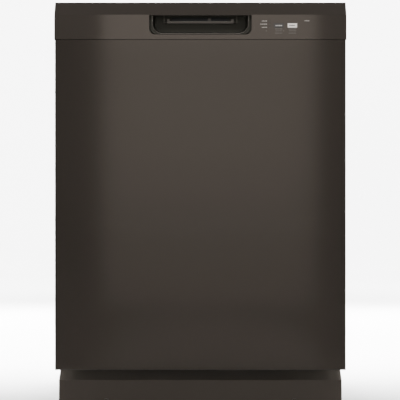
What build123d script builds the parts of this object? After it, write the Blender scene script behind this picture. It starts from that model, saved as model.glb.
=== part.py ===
from build123d import *
import os
from math import atan2, cos, degrees, hypot, radians, sin

os.makedirs("parts", exist_ok=True)

# Overall size. The front faces -Y, +X is right seen from the front, and z = 0 is the floor.
overall_width = 603.0
overall_depth = 610.0
overall_height = 860.0
front = -overall_depth / 2
back = overall_depth / 2

# Clearances.
slack = 0.3
run_fit = 0.05
key_gap = 0.35

# Door panel and console.
console_half = overall_width / 2
console_height = 79.0
console_wall = 2.5
end_rib_wide = 13.5
end_rib_high = 6.0
face_height = 51.0
band_setback = 18.0
console_bottom = overall_height - console_height
face_top = console_bottom + face_height
console_low_back = front + 18.0
console_back = front + 52.0
console_step = overall_height - 20.0
panel_half = console_half - 1.2
panel_gauge = 1.0
panel_return = 20.0
panel_edge = 4.0
panel_bottom = 99.0
panel_top = console_bottom - 0.6
damper_thick = 3.0

# Inner liner of the door.
liner_front = front + panel_return
liner_back = front + 55.0
liner_half = panel_half - 8.3
liner_bottom = 172.0
liner_top = console_step - 2.0
liner_wall = 2.0
dish_depth = 12.0
dish_margin = 30.0
dish_floor = liner_back - dish_depth
track_near = liner_half - 67.0
track_width = 14.0
track_out = liner_back + 12.0
track_top = liner_bottom + 248.0
vent_x = -(liner_half - 112.0)
vent_z = liner_top - 138.0
vent_r = 30.0

# Hinge.
pivot_y = front + 67.0
pivot_z = 168.0
pin_r = 5.0
arm_thick = 3.0
arm_boss = 14.0
arm_near = liner_half
arm_tail_y = pivot_y + 33.0
arm_tail_z = pivot_z - 3.0
arm_top = liner_bottom + 348.0
rail_near = arm_near + arm_thick + 0.4
rail_thick = 3.2
rail_far = rail_near + rail_thick

# Cabinet frame.
rail_front = pivot_y + 78.0
rail_back = back - 28.0
rail_bottom = 62.0
rail_top = 160.0
rail_inner = rail_near - 33.4
tower_bottom = 126.0
tower_top = 192.0
tower_front = pivot_y - 12.0
cross_y = rail_front + 10.0
cross_bottom = rail_bottom + rail_thick
cross_top = 118.0
cross_gauge = 3.0
peg_y = rail_front + 19.0
peg_z = 132.0
peg_r = 9.0
cable_x = arm_near - 1.6
cable_r = 1.2
cable_z = peg_z - peg_r - cable_r - slack
spring_x = cable_x - 1.5
spring_r = 6.0
spring_y = (peg_y + 60.0, peg_y + 240.0)

# Tub.
tub_half = liner_half - 14.0
tub_wall = 3.0
tub_floor = rail_top + tub_wall
tub_top = overall_height - 36.0
tub_front = liner_back + 4.0
tub_back = back - 13.0
flange_half = liner_half - 1.0
flange_thick = 6.0
flange_bottom = rail_top
flange_top = overall_height - 4.0
sill = 168.0
ledge_near = tub_half - 56.0
ledge_top = 172.0
blanket_thick = 6.0
blanket_front = tub_front + 46.0
blanket_bottom = rail_top + 34.0
gasket_width = 8.0
gasket_gap = 2.0
bracket_x = flange_half - 26.0
bracket_y = tub_front + 30.0
bracket_half = 15.0
bracket_gauge = 1.5
bracket_hole = 2.5

# Sump and wash gear, about the lower spray arm's axis.
sump_y = (tub_front + tub_back) / 2 - 8.0
sump_r = 86.0
sump_wall = 3.0
sump_bottom = 96.0
post_r = 12.0
post_top = 188.0
spindle_r = 7.9
arm_bottom = 192.0
arm_height = 10.0
arm_hub_r = 18.0
arm_hub_height = 14.0
lower_arm_half = tub_half - 63.0
mid_arm_half = tub_half - 78.0
arm_wide = 46.0
drain_r = 9.5
drain_x = -140.0
drain_z = 105.0
filter_x = 35.0
filter_y = sump_y - 35.0
filter_r = 30.0
heater_r = 4.2
heater_z = 180.0
heater_half = tub_half - 108.0
heater_corner = 70.0
heater_leg_x = 14.0
heater_bend = 10.0
feed_r = 10.0
feed_y = tub_back - tub_wall - feed_r - 3.0
feed_top = tub_top - 24.0
float_x = -(tub_half - 108.0)
float_y = tub_front + 56.0
float_r = 22.0
float_stem_r = 4.0
pump_z = 112.0
valve_x = -(rail_inner - 62.0)
valve_y = cross_y + 30.0
valve_z = (52.0, 78.0, 112.0, 148.0)
inlet_r = 13.0
box_x = rail_inner - 62.0
box_y = (cross_y + 3.0, cross_y + 63.0)
box_z = (78.0, 122.0)
box_half = 40.0
box_wall = 2.0
entry_y = cross_y + 33.0
entry_r = 11.1

# Racks.
wire = 4.0
seat = 0.1
lower_half = tub_half - 28.0
lower_floor = 223.0
lower_top = 343.0
lower_front = tub_front + 65.0
lower_lean = 45.0
rack_back = tub_back - 34.0
wheel_r = 19.0
wheel_near = tub_half - 52.0
wheel_wide = 12.0
wheel_z = ledge_top + wheel_r + slack
wheel_front_y = lower_front + 121.0
wheel_rear_y = rack_back - 108.0
axle_r = 4.0
tine_pitch = 36.0
lower_tine = 80.0
tine_row_front = lower_front + 111.0
tine_row_gap = (rack_back - 72.0 - tine_row_front) / 4
tine_row_last = rack_back - 20.0
basket_half = lower_half - 50.0
basket_wall = 2.0
basket_cells = 5
upper_half = tub_half - 16.0
upper_floor = tub_top - 304.0
upper_top = upper_floor + 110.0
upper_front = tub_front + 20.0
upper_back = tub_back - 42.0
upper_tine = 52.0
upper_tine_rows = (upper_half - 84.0, upper_half - 202.0)
slide_z = upper_floor + 41.0
slide_half = 12.0
slide_gauge = 2.0
roller_r = slide_half - slide_gauge - 0.2
roller_front_y = tub_front + 31.0
roller_rear_y = tub_front + 126.0
stud_r = 3.0
manifold_z = upper_floor - 11.0
manifold_r = 9.0

# Levelling legs.
leg_x = rail_near - 15.4
leg_front_y = cross_y + 10.0
leg_rear_y = rail_back - 27.0
leg_foot_r = 18.0
leg_foot = 8.0
leg_stem_r = 5.0
leg_top = 110.0

# Toe kick.
kick_y = front + 90.0
kick_gauge = 1.2
kick_bottom = 6.0
kick_bend = 67.7
kick_back = kick_y + 36.0
kick_top = 87.2
kick_screw_x = panel_half - 100.3
kick_hole_r = 2.6
kick_screw_z = 24.0

# Finger pocket, latch and keys.
pocket_half = 105.6
pocket_bottom = console_bottom + 10.3
pocket_corner = 12.0
pocket_depth = 37.0
collar_half = pocket_half - 4.3
collar_inset = 2.0
groove_depth = 12.0
scoop_half = collar_half - 2.8
scoop_bottom = pocket_bottom + 2.6
scoop_corner = 20.0
scoop_depth = 22.0
scoop_taper = 4.5
lip_wide = 1.4
lever_half = 69.0
lever_z = console_bottom + 36.0
lever_lip = 5.0
lever_ear = 9.0
lever_tail = 11.0
lever_rib = 75.5
lever_peg = 1.5
tail_x = (16.0, 22.0)
bolt_y = (console_back - 11.0, console_back - 5.0)
lever_y = front + 31.0
tongue_half = 12.0
tongue_z = console_step + 5.0
tongue_thick = 4.0
start_x = console_half - 111.9
start_z = console_bottom + 28.8
start_wide = 18.9
start_high = 8.6
cycle_x = console_half - 140.0
cycle_wide = 20.0
lens_r = 1.0
lens_x = console_half - 158.4
lens_z = (console_bottom + 37.9, console_bottom + 31.5, console_bottom + 24.9)
board_x = (lens_x - 21.0, start_x + 60.0)
board_y = front + 11.0

# Dispenser.
disp_half = 75.0
disp_bottom = liner_bottom + 196.0
disp_top = disp_bottom + 164.0
disp_face = dish_floor + 6.0
cup_x = -20.0
cup_half = 35.0
cup_bottom = disp_bottom + 12.0
cup_high = 60.0
lid_over = 4.0
lid_travel = 76.0
cap_x = 45.0
cap_z = disp_bottom + 42.0
cap_r = 18.0


def block(x, y, z, mode=Mode.ADD):
    with Locations(((x[0] + x[1]) / 2, (y[0] + y[1]) / 2, (z[0] + z[1]) / 2)):
        Box(x[1] - x[0], y[1] - y[0], z[1] - z[0], mode=mode)


def rod(a, b, radius, mode=Mode.ADD):
    axis = Vector(*b) - Vector(*a)
    with Locations(Plane(origin=a, z_dir=axis)):
        bottom = (Align.CENTER, Align.CENTER, Align.MIN)
        Cylinder(radius, axis.length, align=bottom, mode=mode)


def facing(y):
    return Plane(origin=(0, y, 0), x_dir=(1, 0, 0), z_dir=(0, -1, 0))


def side(x):
    return Plane(origin=(x, 0, 0), x_dir=(0, 1, 0), z_dir=(1, 0, 0))


def net(wide, high, across, up):
    gap_x = (wide - wire * (across + 1)) / across
    gap_y = (high - wire * (up + 1)) / up
    Rectangle(wide, high)
    with GridLocations(gap_x + wire, gap_y + wire, across, up):
        Rectangle(gap_x, gap_y, mode=Mode.SUBTRACT)


def save(builder, name):
    builder.part.label = name
    export_step(builder.part, f"parts/{name}.step")


# Door panel: a pressed tray, open to the back.
with BuildPart() as door_panel:
    block((-panel_half, panel_half), (front, liner_front), (panel_bottom, panel_top))
    rim = door_panel.faces().sort_by(Axis.Y)[0].edges()
    fillet(rim.filter_by(Axis.Z) + [rim.filter_by(Axis.X).sort_by(Axis.Z)[0]], panel_edge)
    offset(amount=-panel_gauge, openings=door_panel.faces().sort_by(Axis.Y)[-1])
save(door_panel, "door_panel")

with BuildPart() as door_damper:
    damper_y = front + panel_gauge
    damper_half = panel_half - 20.3
    damper_z = (panel_bottom + 31, panel_top - 20)
    block((-damper_half, damper_half), (damper_y, damper_y + damper_thick), damper_z)
save(door_damper, "door_damper")

# Console: a shell with a sloping band over its upright face, open below and behind.
with BuildPart() as console:
    with BuildSketch(Plane.YZ):
        Polygon(
            (front, console_bottom),
            (front, face_top),
            (front + band_setback, overall_height - 2),
            (front + band_setback + 3, overall_height),
            (console_back, overall_height),
            (console_back, console_step),
            (console_low_back, console_step),
            (console_low_back, console_bottom),
            align=None,
        )
    extrude(amount=console_half, both=True)
    with BuildSketch(Plane.YZ):
        Polygon(
            (front + console_wall, console_bottom),
            (front + console_wall, face_top - 0.8),
            (front + band_setback + 1.3, overall_height - console_wall - 1.2),
            (front + band_setback + 3.3, overall_height - console_wall),
            (console_back - console_wall, overall_height - console_wall),
            (console_back - console_wall, console_step),
            (console_low_back, console_step),
            (console_low_back, console_bottom),
            align=None,
        )
    extrude(amount=console_half - console_wall, both=True, mode=Mode.SUBTRACT)
    # A short rib closes each lower end, where the console reaches past the liner.
    for s in (-1, 1):
        across = sorted((s * (console_half - end_rib_wide), s * (console_half - console_wall / 2)))
        deep = (front + console_wall / 2, console_low_back)
        block(across, deep, (console_bottom, console_bottom + end_rib_high))
    with BuildSketch(facing(front)):
        with Locations((0, (pocket_bottom + face_top) / 2)):
            mouth = Rectangle(2 * pocket_half, face_top - pocket_bottom)
        fillet(mouth.vertices().group_by(Axis.Y)[0], pocket_corner)
    extrude(amount=-console_wall, mode=Mode.SUBTRACT)
    with BuildSketch(facing(front)):
        with Locations((start_x, start_z)):
            Rectangle(start_wide + 2 * key_gap, start_high + 2 * key_gap)
        with Locations((cycle_x, start_z)):
            Rectangle(cycle_wide + 2 * key_gap, start_high + 2 * key_gap)
        with Locations([(lens_x, z) for z in lens_z]):
            Circle(lens_r + slack)
    extrude(amount=-console_wall, mode=Mode.SUBTRACT)
    block(
        (-tongue_half - 4, tongue_half + 4),
        (console_back - console_wall, console_back),
        (tongue_z - 3, tongue_z + tongue_thick + 3),
        mode=Mode.SUBTRACT,
    )
    ends = console.faces().filter_by(Axis.X).sort_by(Axis.X)
    tips = ends[0].edges() + ends[-1].edges()
    fillet([e for e in tips if e.center().Z > face_top + 1 and e.center().Y < console_back - 20], 1.5)
save(console, "console")

# Finger pocket: a scooped insert, U-shaped from the front. A groove runs round its collar, and a thin
# lip stands round the scoop.
pocket_top = liner_top - liner_wall - 0.5
pocket_back = front + pocket_depth
collar_top = face_top - 2.0


def cup(depth, half, low, top, corner):
    with BuildSketch(facing(front + depth)) as outline:
        with Locations((0, (low + top) / 2)):
            shape = Rectangle(2 * half, top - low)
        fillet(shape.vertices().group_by(Axis.Y)[0], corner)
    return outline.sketch


def scoop(depth, grow, top):
    return cup(depth, scoop_half + grow, scoop_bottom - grow, top, scoop_corner + grow)


with BuildPart() as handle_pocket:
    block(
        (-pocket_half - 6, pocket_half + 6),
        (front + console_wall, pocket_back),
        (pocket_bottom - 6, pocket_top),
    )
    block(
        (-pocket_half - 7, pocket_half + 7),
        (front, front + console_wall + 3.5),
        (face_top - 1.5, pocket_top + 1),
        mode=Mode.SUBTRACT,
    )
    mouth = cup(0, pocket_half + 0.5, pocket_bottom - 0.5, face_top, pocket_corner)
    extrude(mouth, amount=-groove_depth, mode=Mode.SUBTRACT)
    collar = cup(collar_inset, collar_half, pocket_bottom + 1.2, collar_top, pocket_corner - 2)
    extrude(collar, amount=-groove_depth)
    lip_front = 0.6
    extrude(scoop(lip_front, lip_wide, collar_top), amount=lip_front - collar_inset)
    deep = scoop(scoop_depth, -scoop_taper, pocket_top - 1.2)
    loft([scoop(0, 0, pocket_top - 1.2), deep], mode=Mode.SUBTRACT)
    extrude(deep, amount=-12, mode=Mode.SUBTRACT)
    block((-60, 60), (front + 30, pocket_back), (lever_z + 6, lever_z + 13), mode=Mode.SUBTRACT)
    for s in (-1, 1):
        rib = (s * lever_rib - 1.5, s * lever_rib + 1.5)
        block(rib, (lever_y - 4, lever_y + 3), (lever_z, lever_z + 11))
        near = (s * (lever_rib - 5.5), lever_y, lever_z + 2)
        far = (s * (lever_rib + 6.5), lever_y, lever_z + 2)
        rod(near, far, lever_peg + run_fit, Mode.SUBTRACT)
save(handle_pocket, "handle_pocket")

# Latch lever: a lip with upturned ends on two pivot pegs, and a tail through the pocket's window.
with BuildPart() as latch_lever:
    block((-lever_half, lever_half), (lever_y - 5, lever_y + 2), (lever_z, lever_z + lever_lip))
    for s in (-1, 1):
        x = s * (lever_half - 2.5)
        block((x - 2.5, x + 2.5), (lever_y - 3, lever_y + 2), (lever_z + lever_lip, lever_z + lever_ear))
        rod((s * lever_half, lever_y, lever_z + 2), (s * (lever_rib + 1), lever_y, lever_z + 2), lever_peg)
    block(tail_x, (lever_y - 1, lever_y + 2), (lever_z + lever_lip, lever_z + lever_tail))
    block(tail_x, (lever_y - 1, pocket_back + 8), (lever_z + 8, lever_z + lever_tail))
save(latch_lever, "latch_lever")

# Latch: a bracket behind the console's rear lip, and a bolt carriage hung over the strike tongue.
with BuildPart() as latch_housing:
    wall_y = (console_back - console_wall - 1.8, console_back - console_wall)
    block((-30, 30), wall_y, (console_step, overall_height - console_wall))
    slot_z = (tongue_z - 3, tongue_z + tongue_thick + 3)
    block((-tongue_half - 4, tongue_half + 4), wall_y, slot_z, Mode.SUBTRACT)
    for s in (-1, 1):
        cheek_z = (console_step, overall_height - console_wall)
        block((s * 29 - 1, s * 29 + 1), (console_back - 28, wall_y[0]), cheek_z)
save(latch_housing, "latch_housing")

with BuildPart() as latch_bolt:
    bolt_top = tongue_z + tongue_thick + 5.5
    block(tail_x, bolt_y, (lever_z + lever_tail + 0.4, bolt_top))
    block((-5, tail_x[1]), bolt_y, (tongue_z + tongue_thick + 2.5, bolt_top))
    block((-5, 5), bolt_y, (tongue_z + tongue_thick + 0.5, tongue_z + tongue_thick + 2.5))
save(latch_bolt, "latch_bolt")

# Keys: caps flush in the console, each with a flange behind its wall and a stem.
def key(builder_x, wide):
    inner = front + console_wall
    block(
        (builder_x - wide / 2, builder_x + wide / 2),
        (front + 0.2, inner + 1.6),
        (start_z - start_high / 2, start_z + start_high / 2),
    )
    block(
        (builder_x - wide / 2 - 1.5, builder_x + wide / 2 + 1.5),
        (inner + 0.2, inner + 1.6),
        (start_z - start_high / 2 - 1.5, start_z + start_high / 2 + 1.5),
    )
    rod((builder_x, inner + 1.6, start_z), (builder_x, inner + 3.0, start_z), 2.0)


with BuildPart() as start_key:
    key(start_x, start_wide)
save(start_key, "start_key")

with BuildPart() as cycle_key:
    key(cycle_x, cycle_wide)
save(cycle_key, "cycle_key")

with BuildPart() as control_board:
    block(board_x, (board_y, board_y + 1.6), (console_bottom + 6, console_bottom + 47))
    for x in (start_x, cycle_x):
        rod((x, front + console_wall + 4.4, start_z), (x, board_y, start_z), 2.6)
    for x in (board_x[0] + 6, board_x[1] - 6):
        for z in (console_bottom + 10, console_bottom + 43):
            rod((x, front + console_wall, z), (x, board_y, z), 2.5)
save(control_board, "control_board")

with BuildPart() as indicator_lenses:
    for z in lens_z:
        rod((lens_x, front + 0.1, z), (lens_x, board_y, z), lens_r)
save(indicator_lenses, "indicator_lenses")

# Inner liner: a dished tray with two raised wheel tracks and openings for dispenser and vent.
with BuildPart() as door_liner:
    mid_z = (liner_bottom + liner_top) / 2
    high = liner_top - liner_bottom
    dish_wide = 2 * (liner_half - dish_margin)
    dish_high = high - 2 * dish_margin
    block((-liner_half, liner_half), (liner_front, liner_back), (liner_bottom, liner_top))
    block(
        (-liner_half + liner_wall, liner_half - liner_wall),
        (liner_front, dish_floor - liner_wall),
        (liner_bottom + liner_wall, liner_top - liner_wall),
        mode=Mode.SUBTRACT,
    )
    with BuildSketch(facing(dish_floor - liner_wall)):
        with Locations((0, mid_z)):
            Rectangle(2 * (liner_half - liner_wall), high - 2 * liner_wall)
            RectangleRounded(dish_wide + 2 * liner_wall, dish_high + 2 * liner_wall, 22, mode=Mode.SUBTRACT)
    extrude(amount=-dish_depth, mode=Mode.SUBTRACT)
    with BuildSketch(facing(dish_floor)):
        with Locations((0, mid_z)):
            RectangleRounded(dish_wide, dish_high, 20)
    extrude(amount=-dish_depth, mode=Mode.SUBTRACT)
    for s in (-1, 1):
        x = s * (track_near + track_width / 2)
        block(
            (x - track_width / 2, x + track_width / 2),
            (dish_floor, track_out),
            (liner_bottom + dish_margin + 6, track_top),
        )
    block(
        (-disp_half - slack, disp_half + slack),
        (dish_floor - liner_wall, dish_floor),
        (disp_bottom - slack, disp_top + slack),
        mode=Mode.SUBTRACT,
    )
    rod((vent_x, dish_floor - liner_wall, vent_z), (vent_x, dish_floor, vent_z), vent_r, Mode.SUBTRACT)
    slot_x = (tail_x[0] - 1, tail_x[1] + 1)
    slot_y = (bolt_y[0] - 1, bolt_y[1] + 1)
    block(slot_x, slot_y, (liner_top - liner_wall, liner_top), mode=Mode.SUBTRACT)
save(door_liner, "door_liner")

with BuildPart() as vent_grille:
    rod((vent_x, dish_floor, vent_z), (vent_x, dish_floor + 3, vent_z), vent_r + 4)
    rod((vent_x, dish_floor - 8, vent_z), (vent_x, dish_floor, vent_z), vent_r - 0.4)
    for k in range(-2, 3):
        block(
            (vent_x - 18, vent_x + 18),
            (dish_floor - 8, dish_floor + 3),
            (vent_z + 9 * k - 2.5, vent_z + 9 * k + 2.5),
            mode=Mode.SUBTRACT,
        )
save(vent_grille, "vent_grille")

# Dispenser with its sliding lid and twist cap.
with BuildPart() as dispenser_body:
    block((-disp_half, disp_half), (dish_floor - 20, disp_face), (disp_bottom, disp_top))
    block(
        (cup_x - cup_half, cup_x + cup_half),
        (dish_floor - 17, disp_face),
        (cup_bottom, cup_bottom + cup_high),
        mode=Mode.SUBTRACT,
    )
    rod((cap_x, dish_floor - 12, cap_z), (cap_x, disp_face, cap_z), 9 + slack, Mode.SUBTRACT)
    for s in (-1, 1):
        x = cup_x + s * (cup_half + lid_over + 1.8)
        top = cup_bottom + cup_high + lid_over + lid_travel
        block((x - 1.5, x + 1.5), (disp_face, disp_face + 3.5), (cup_bottom - lid_over, top))
save(dispenser_body, "dispenser_body")

with BuildPart() as dispenser_lid:
    lid_x = cup_half + lid_over
    lid_z = (cup_bottom - lid_over, cup_bottom + cup_high + lid_over)
    block((cup_x - lid_x, cup_x + lid_x), (disp_face + 0.1, disp_face + 2.6), lid_z)
    block((cup_x - 14, cup_x + 14), (disp_face + 2.6, disp_face + 5.5), (lid_z[1] - 12, lid_z[1] - 8))
save(dispenser_lid, "dispenser_lid")

with BuildPart() as rinse_cap:
    rod((cap_x, disp_face + 0.1, cap_z), (cap_x, disp_face + 4, cap_z), cap_r)
    rod((cap_x, dish_floor - 10, cap_z), (cap_x, disp_face + 0.1, cap_z), 9)
    block((cap_x - 2.5, cap_x + 2.5), (disp_face + 4, disp_face + 9), (cap_z - 14, cap_z + 14))
save(rinse_cap, "rinse_cap")

# Hinge arms: plates on the liner's sides, bored for the pins, each with a short tail for its cable.
with BuildPart() as hinge_arms:
    for s in (-1, 1):
        near = min(s * arm_near, s * (arm_near + arm_thick))
        with BuildSketch(side(near)):
            with Locations((pivot_y, pivot_z)):
                Circle(arm_boss)
            with Locations((arm_tail_y, arm_tail_z)):
                Circle(7)
            Polygon(
                (pivot_y, pivot_z - 10),
                (arm_tail_y, arm_tail_z - 7),
                (arm_tail_y, arm_tail_z + 7),
                (pivot_y, pivot_z + 10),
                align=None,
            )
            Polygon(
                (pivot_y - 4, pivot_z - 13),
                (pivot_y + 8, pivot_z + 11),
                (liner_back - 4, pivot_z + 60),
                (liner_back - 4, arm_top),
                (liner_front + 4, arm_top),
                (liner_front + 4, pivot_z + 30),
                align=None,
            )
            with Locations((pivot_y, pivot_z)):
                Circle(pin_r + run_fit, mode=Mode.SUBTRACT)
        extrude(amount=arm_thick)
save(hinge_arms, "hinge_arms")

with BuildPart() as hinge_pins:
    for s in (-1, 1):
        rod((s * (arm_near - 0.4), pivot_y, pivot_z), (s * rail_far, pivot_y, pivot_z), pin_r)
save(hinge_pins, "hinge_pins")

# Side rails: webs with hinge towers, and flanges that carry the tub and take the legs.
with BuildPart() as side_rails:
    for s in (-1, 1):
        near = min(s * rail_near, s * rail_far)
        with BuildSketch(side(near)):
            Polygon(
                (tower_front, tower_bottom),
                (tower_front, tower_top),
                (cross_y, tower_top),
                (cross_y, rail_top),
                (rail_back, rail_top),
                (rail_back, rail_bottom),
                (rail_front, rail_bottom),
                (rail_front, tower_bottom),
                align=None,
            )
            with Locations((pivot_y, pivot_z)):
                Circle(pin_r, mode=Mode.SUBTRACT)
        extrude(amount=rail_thick)
        flange_x = sorted((s * rail_inner, s * rail_near))
        for z in (rail_bottom, rail_top - rail_thick):
            block(flange_x, (cross_y, rail_back), (z, z + rail_thick))
        for y in (leg_front_y, leg_rear_y):
            spot = (s * leg_x, y)
            rod((*spot, rail_bottom), (*spot, cross_bottom), leg_stem_r + slack, Mode.SUBTRACT)
        rod((s * (arm_near - 4), peg_y, peg_z), (s * rail_near, peg_y, peg_z), peg_r)
save(side_rails, "side_rails")

with BuildPart() as cross_rails:
    span = (-rail_inner, rail_inner)
    rear = rail_back - cross_gauge
    block(span, (cross_y, cross_y + cross_gauge), (rail_bottom, cross_top))
    block(span, (rear, rail_back), (rail_bottom, rail_top - 4))
    rod((drain_x, rear, drain_z), (drain_x, rail_back, drain_z), drain_r, Mode.SUBTRACT)
    for s in (-1, 1):
        x = (s * kick_screw_x - 12, s * kick_screw_x + 12)
        face = kick_y + kick_gauge
        shelf = (rail_bottom - 7, rail_bottom - 4)
        block(x, (face, face + 2), (kick_screw_z - 10, shelf[1]))
        block(x, (face, cross_y), shelf)
        block(x, (cross_y - 2, cross_y), (shelf[0], rail_bottom + 12))
        hole = (s * kick_screw_x, face, kick_screw_z)
        rod(hole, (hole[0], face + 2, hole[2]), kick_hole_r, Mode.SUBTRACT)
save(cross_rails, "cross_rails")

# Door balance: a spring in each rail, its cable led under the rail's peg to the hinge arm's tail.
with BuildPart() as balance_cables:
    for s in (-1, 1):
        x = s * cable_x
        with BuildLine() as lead:
            Polyline((x, arm_tail_y, arm_tail_z - 8), (x, peg_y - 6, cable_z), (x, spring_y[0], cable_z))
        with BuildSketch(Plane(origin=lead.line @ 0, z_dir=lead.line % 0)):
            Circle(cable_r)
        sweep(path=lead.line, transition=Transition.ROUND)
save(balance_cables, "balance_cables")

with BuildPart() as balance_springs:
    for s in (-1, 1):
        x = s * spring_x
        rod((x, spring_y[0], cable_z), (x, spring_y[1], cable_z), spring_r)
        plate_y = (spring_y[1], spring_y[1] + 6)
        block(sorted((x - s * 3, s * rail_near)), plate_y, (cable_z - 8, cable_z + 8))
save(balance_springs, "balance_springs")

# Tub: an open-fronted shell with a front flange, wheel ledges, and holes for sump, heater and float.
tub_y = (tub_front, tub_back)
with BuildPart() as tub:
    outer = tub_half + tub_wall
    block((-outer, outer), tub_y, (rail_top, tub_top + tub_wall))
    block((-flange_half, flange_half), (tub_front, tub_front + flange_thick), (flange_bottom, flange_top))
    hollow = (-tub_half, tub_half)
    behind = tub_front + flange_thick
    block(hollow, (behind, tub_back - tub_wall), (tub_floor, tub_top), Mode.SUBTRACT)
    block(hollow, (tub_front, behind), (sill, tub_top), Mode.SUBTRACT)
    for s in (-1, 1):
        ledge_x = sorted((s * ledge_near, s * tub_half))
        block(ledge_x, (tub_front, tub_back - tub_wall), (tub_floor, ledge_top))
        leg = (s * heater_leg_x, sump_y - heater_half)
        rod((*leg, rail_top), (*leg, tub_floor), heater_r + 0.4, Mode.SUBTRACT)
    rod((0, sump_y, rail_top), (0, sump_y, tub_floor), sump_r - sump_wall, Mode.SUBTRACT)
    rod((float_x, float_y, rail_top), (float_x, float_y, tub_floor), float_stem_r + slack, Mode.SUBTRACT)
save(tub, "tub")

with BuildPart() as tub_blanket:
    inner = tub_half + tub_wall + slack
    outer = inner + blanket_thick
    top = tub_top + tub_wall + slack
    rear = tub_back + slack
    block((-outer, outer), (blanket_front, rear + blanket_thick), (blanket_bottom, top + blanket_thick))
    block((-inner, inner), (blanket_front, rear), (blanket_bottom, top), mode=Mode.SUBTRACT)
save(tub_blanket, "tub_blanket")

gasket_half = tub_half + gasket_gap
gasket_top = tub_top + gasket_gap + gasket_width
with BuildPart() as door_gasket:
    gasket_y = (liner_back + slack, tub_front)
    block((-gasket_half - gasket_width, gasket_half + gasket_width), gasket_y, (sill + 2, gasket_top))
    block((-gasket_half, gasket_half), gasket_y, (sill + 2, gasket_top - gasket_width), mode=Mode.SUBTRACT)
save(door_gasket, "door_gasket")

with BuildPart() as door_strike:
    block((-24, 24), (tub_front - 1.5, tub_front), (console_step + 1, overall_height - 6))
    tongue = (tongue_z, tongue_z + tongue_thick)
    block((-tongue_half, tongue_half), (console_back - 15, tub_front - 1.5), tongue)
save(door_strike, "door_strike")

with BuildPart() as counter_brackets:
    for s in (-1, 1):
        x = (s * bracket_x - bracket_half, s * bracket_x + bracket_half)
        behind = tub_front + flange_thick
        under = overall_height - bracket_gauge
        block(x, (behind, bracket_y + 16), (under, overall_height))
        block(x, (behind, behind + bracket_gauge), (tub_top + 12, under))
        spot = (s * bracket_x, bracket_y)
        rod((*spot, under), (*spot, overall_height), bracket_hole, Mode.SUBTRACT)
save(counter_brackets, "counter_brackets")

# Toe kick and its screws, which go into brackets on the front cross rail.
with BuildPart() as toe_kick:
    lean = atan2(kick_top - kick_bend, kick_back - kick_y)
    with BuildSketch(Plane.YZ):
        Polygon(
            (kick_y, kick_bottom),
            (kick_y, kick_bend),
            (kick_back, kick_top),
            (kick_back + kick_gauge * sin(lean), kick_top - kick_gauge * cos(lean)),
            (kick_y + kick_gauge, kick_bend - 0.6),
            (kick_y + kick_gauge, kick_bottom + kick_gauge),
            (kick_y + 12, kick_bottom + kick_gauge),
            (kick_y + 12, kick_bottom),
            align=None,
        )
    extrude(amount=panel_half, both=True)
    for s in (-1, 1):
        at = (s * kick_screw_x, kick_y, kick_screw_z)
        rod(at, (at[0], kick_y + kick_gauge, at[2]), kick_hole_r, Mode.SUBTRACT)
save(toe_kick, "toe_kick")

with BuildPart() as kick_screws:
    for s in (-1, 1):
        at = (s * kick_screw_x, kick_y, kick_screw_z)
        rod((at[0], kick_y - 2.2, at[2]), at, 5.0)
        rod(at, (at[0], kick_y + 9, at[2]), 2.2)
        slot_y = (kick_y - 2.2, kick_y - 1.2)
        block((at[0] - 3.5, at[0] + 3.5), slot_y, (at[2] - 0.6, at[2] + 0.6), Mode.SUBTRACT)
save(kick_screws, "kick_screws")

# Levelling legs.
for leg, (x, y) in {
    "leg_front_left": (-leg_x, leg_front_y),
    "leg_front_right": (leg_x, leg_front_y),
    "leg_rear_left": (-leg_x, leg_rear_y),
    "leg_rear_right": (leg_x, leg_rear_y),
}.items():
    with BuildPart() as one_leg:
        rod((x, y, 0), (x, y, leg_foot), leg_foot_r)
        rod((x, y, leg_foot), (x, y, leg_top), leg_stem_r)
        with BuildSketch(Plane.XY.offset(leg_foot)):
            with Locations((x, y)):
                RegularPolygon(10, 6)
        extrude(amount=10)
    save(one_leg, leg)

# Sump, cover, filter and pumps.
with BuildPart() as sump:
    rod((0, sump_y, sump_bottom), (0, sump_y, rail_top), sump_r)
    rod((0, sump_y, rail_top - 4), (0, sump_y, rail_top), sump_r + 14)
    rod((0, sump_y, sump_bottom + sump_wall), (0, sump_y, rail_top), sump_r - sump_wall, Mode.SUBTRACT)
    rod((0, sump_y, sump_bottom + sump_wall), (0, sump_y, post_top), post_r)
    rod((0, sump_y, post_top), (0, sump_y, arm_bottom + arm_hub_height + 7), spindle_r)
save(sump, "sump")

with BuildPart() as sump_cover:
    rod((0, sump_y, tub_floor), (0, sump_y, tub_floor + 3), sump_r + 12)
    rod((0, sump_y, tub_floor), (0, sump_y, tub_floor + 3), post_r + slack, Mode.SUBTRACT)
    spot = (filter_x, filter_y)
    rod((*spot, tub_floor), (*spot, tub_floor + 3), filter_r + slack, Mode.SUBTRACT)
save(sump_cover, "sump_cover")

with BuildPart() as filter_cylinder:
    spot = (filter_x, filter_y)
    rod((*spot, sump_bottom + sump_wall + 0.5), (*spot, tub_floor + 7), filter_r)
    rod((*spot, sump_bottom + 8), (*spot, tub_floor + 7), filter_r - 3, Mode.SUBTRACT)
    grip_x = (filter_x - filter_r + 1, filter_x + filter_r - 1)
    block(grip_x, (filter_y - 2, filter_y + 2), (tub_floor, tub_floor + 12))
save(filter_cylinder, "filter_cylinder")

with BuildPart() as circulation_pump:
    rod((sump_r + 0.3, sump_y, pump_z), (sump_r + 10, sump_y, pump_z), 14)
    rod((sump_r + 8, sump_y, pump_z), (sump_r + 46, sump_y, pump_z), 42)
    rod((sump_r + 46, sump_y, pump_z), (sump_r + 124, sump_y, pump_z), 36)
    rod((sump_r + 124, sump_y, pump_z), (sump_r + 132, sump_y, pump_z), 14)
save(circulation_pump, "circulation_pump")

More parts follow.
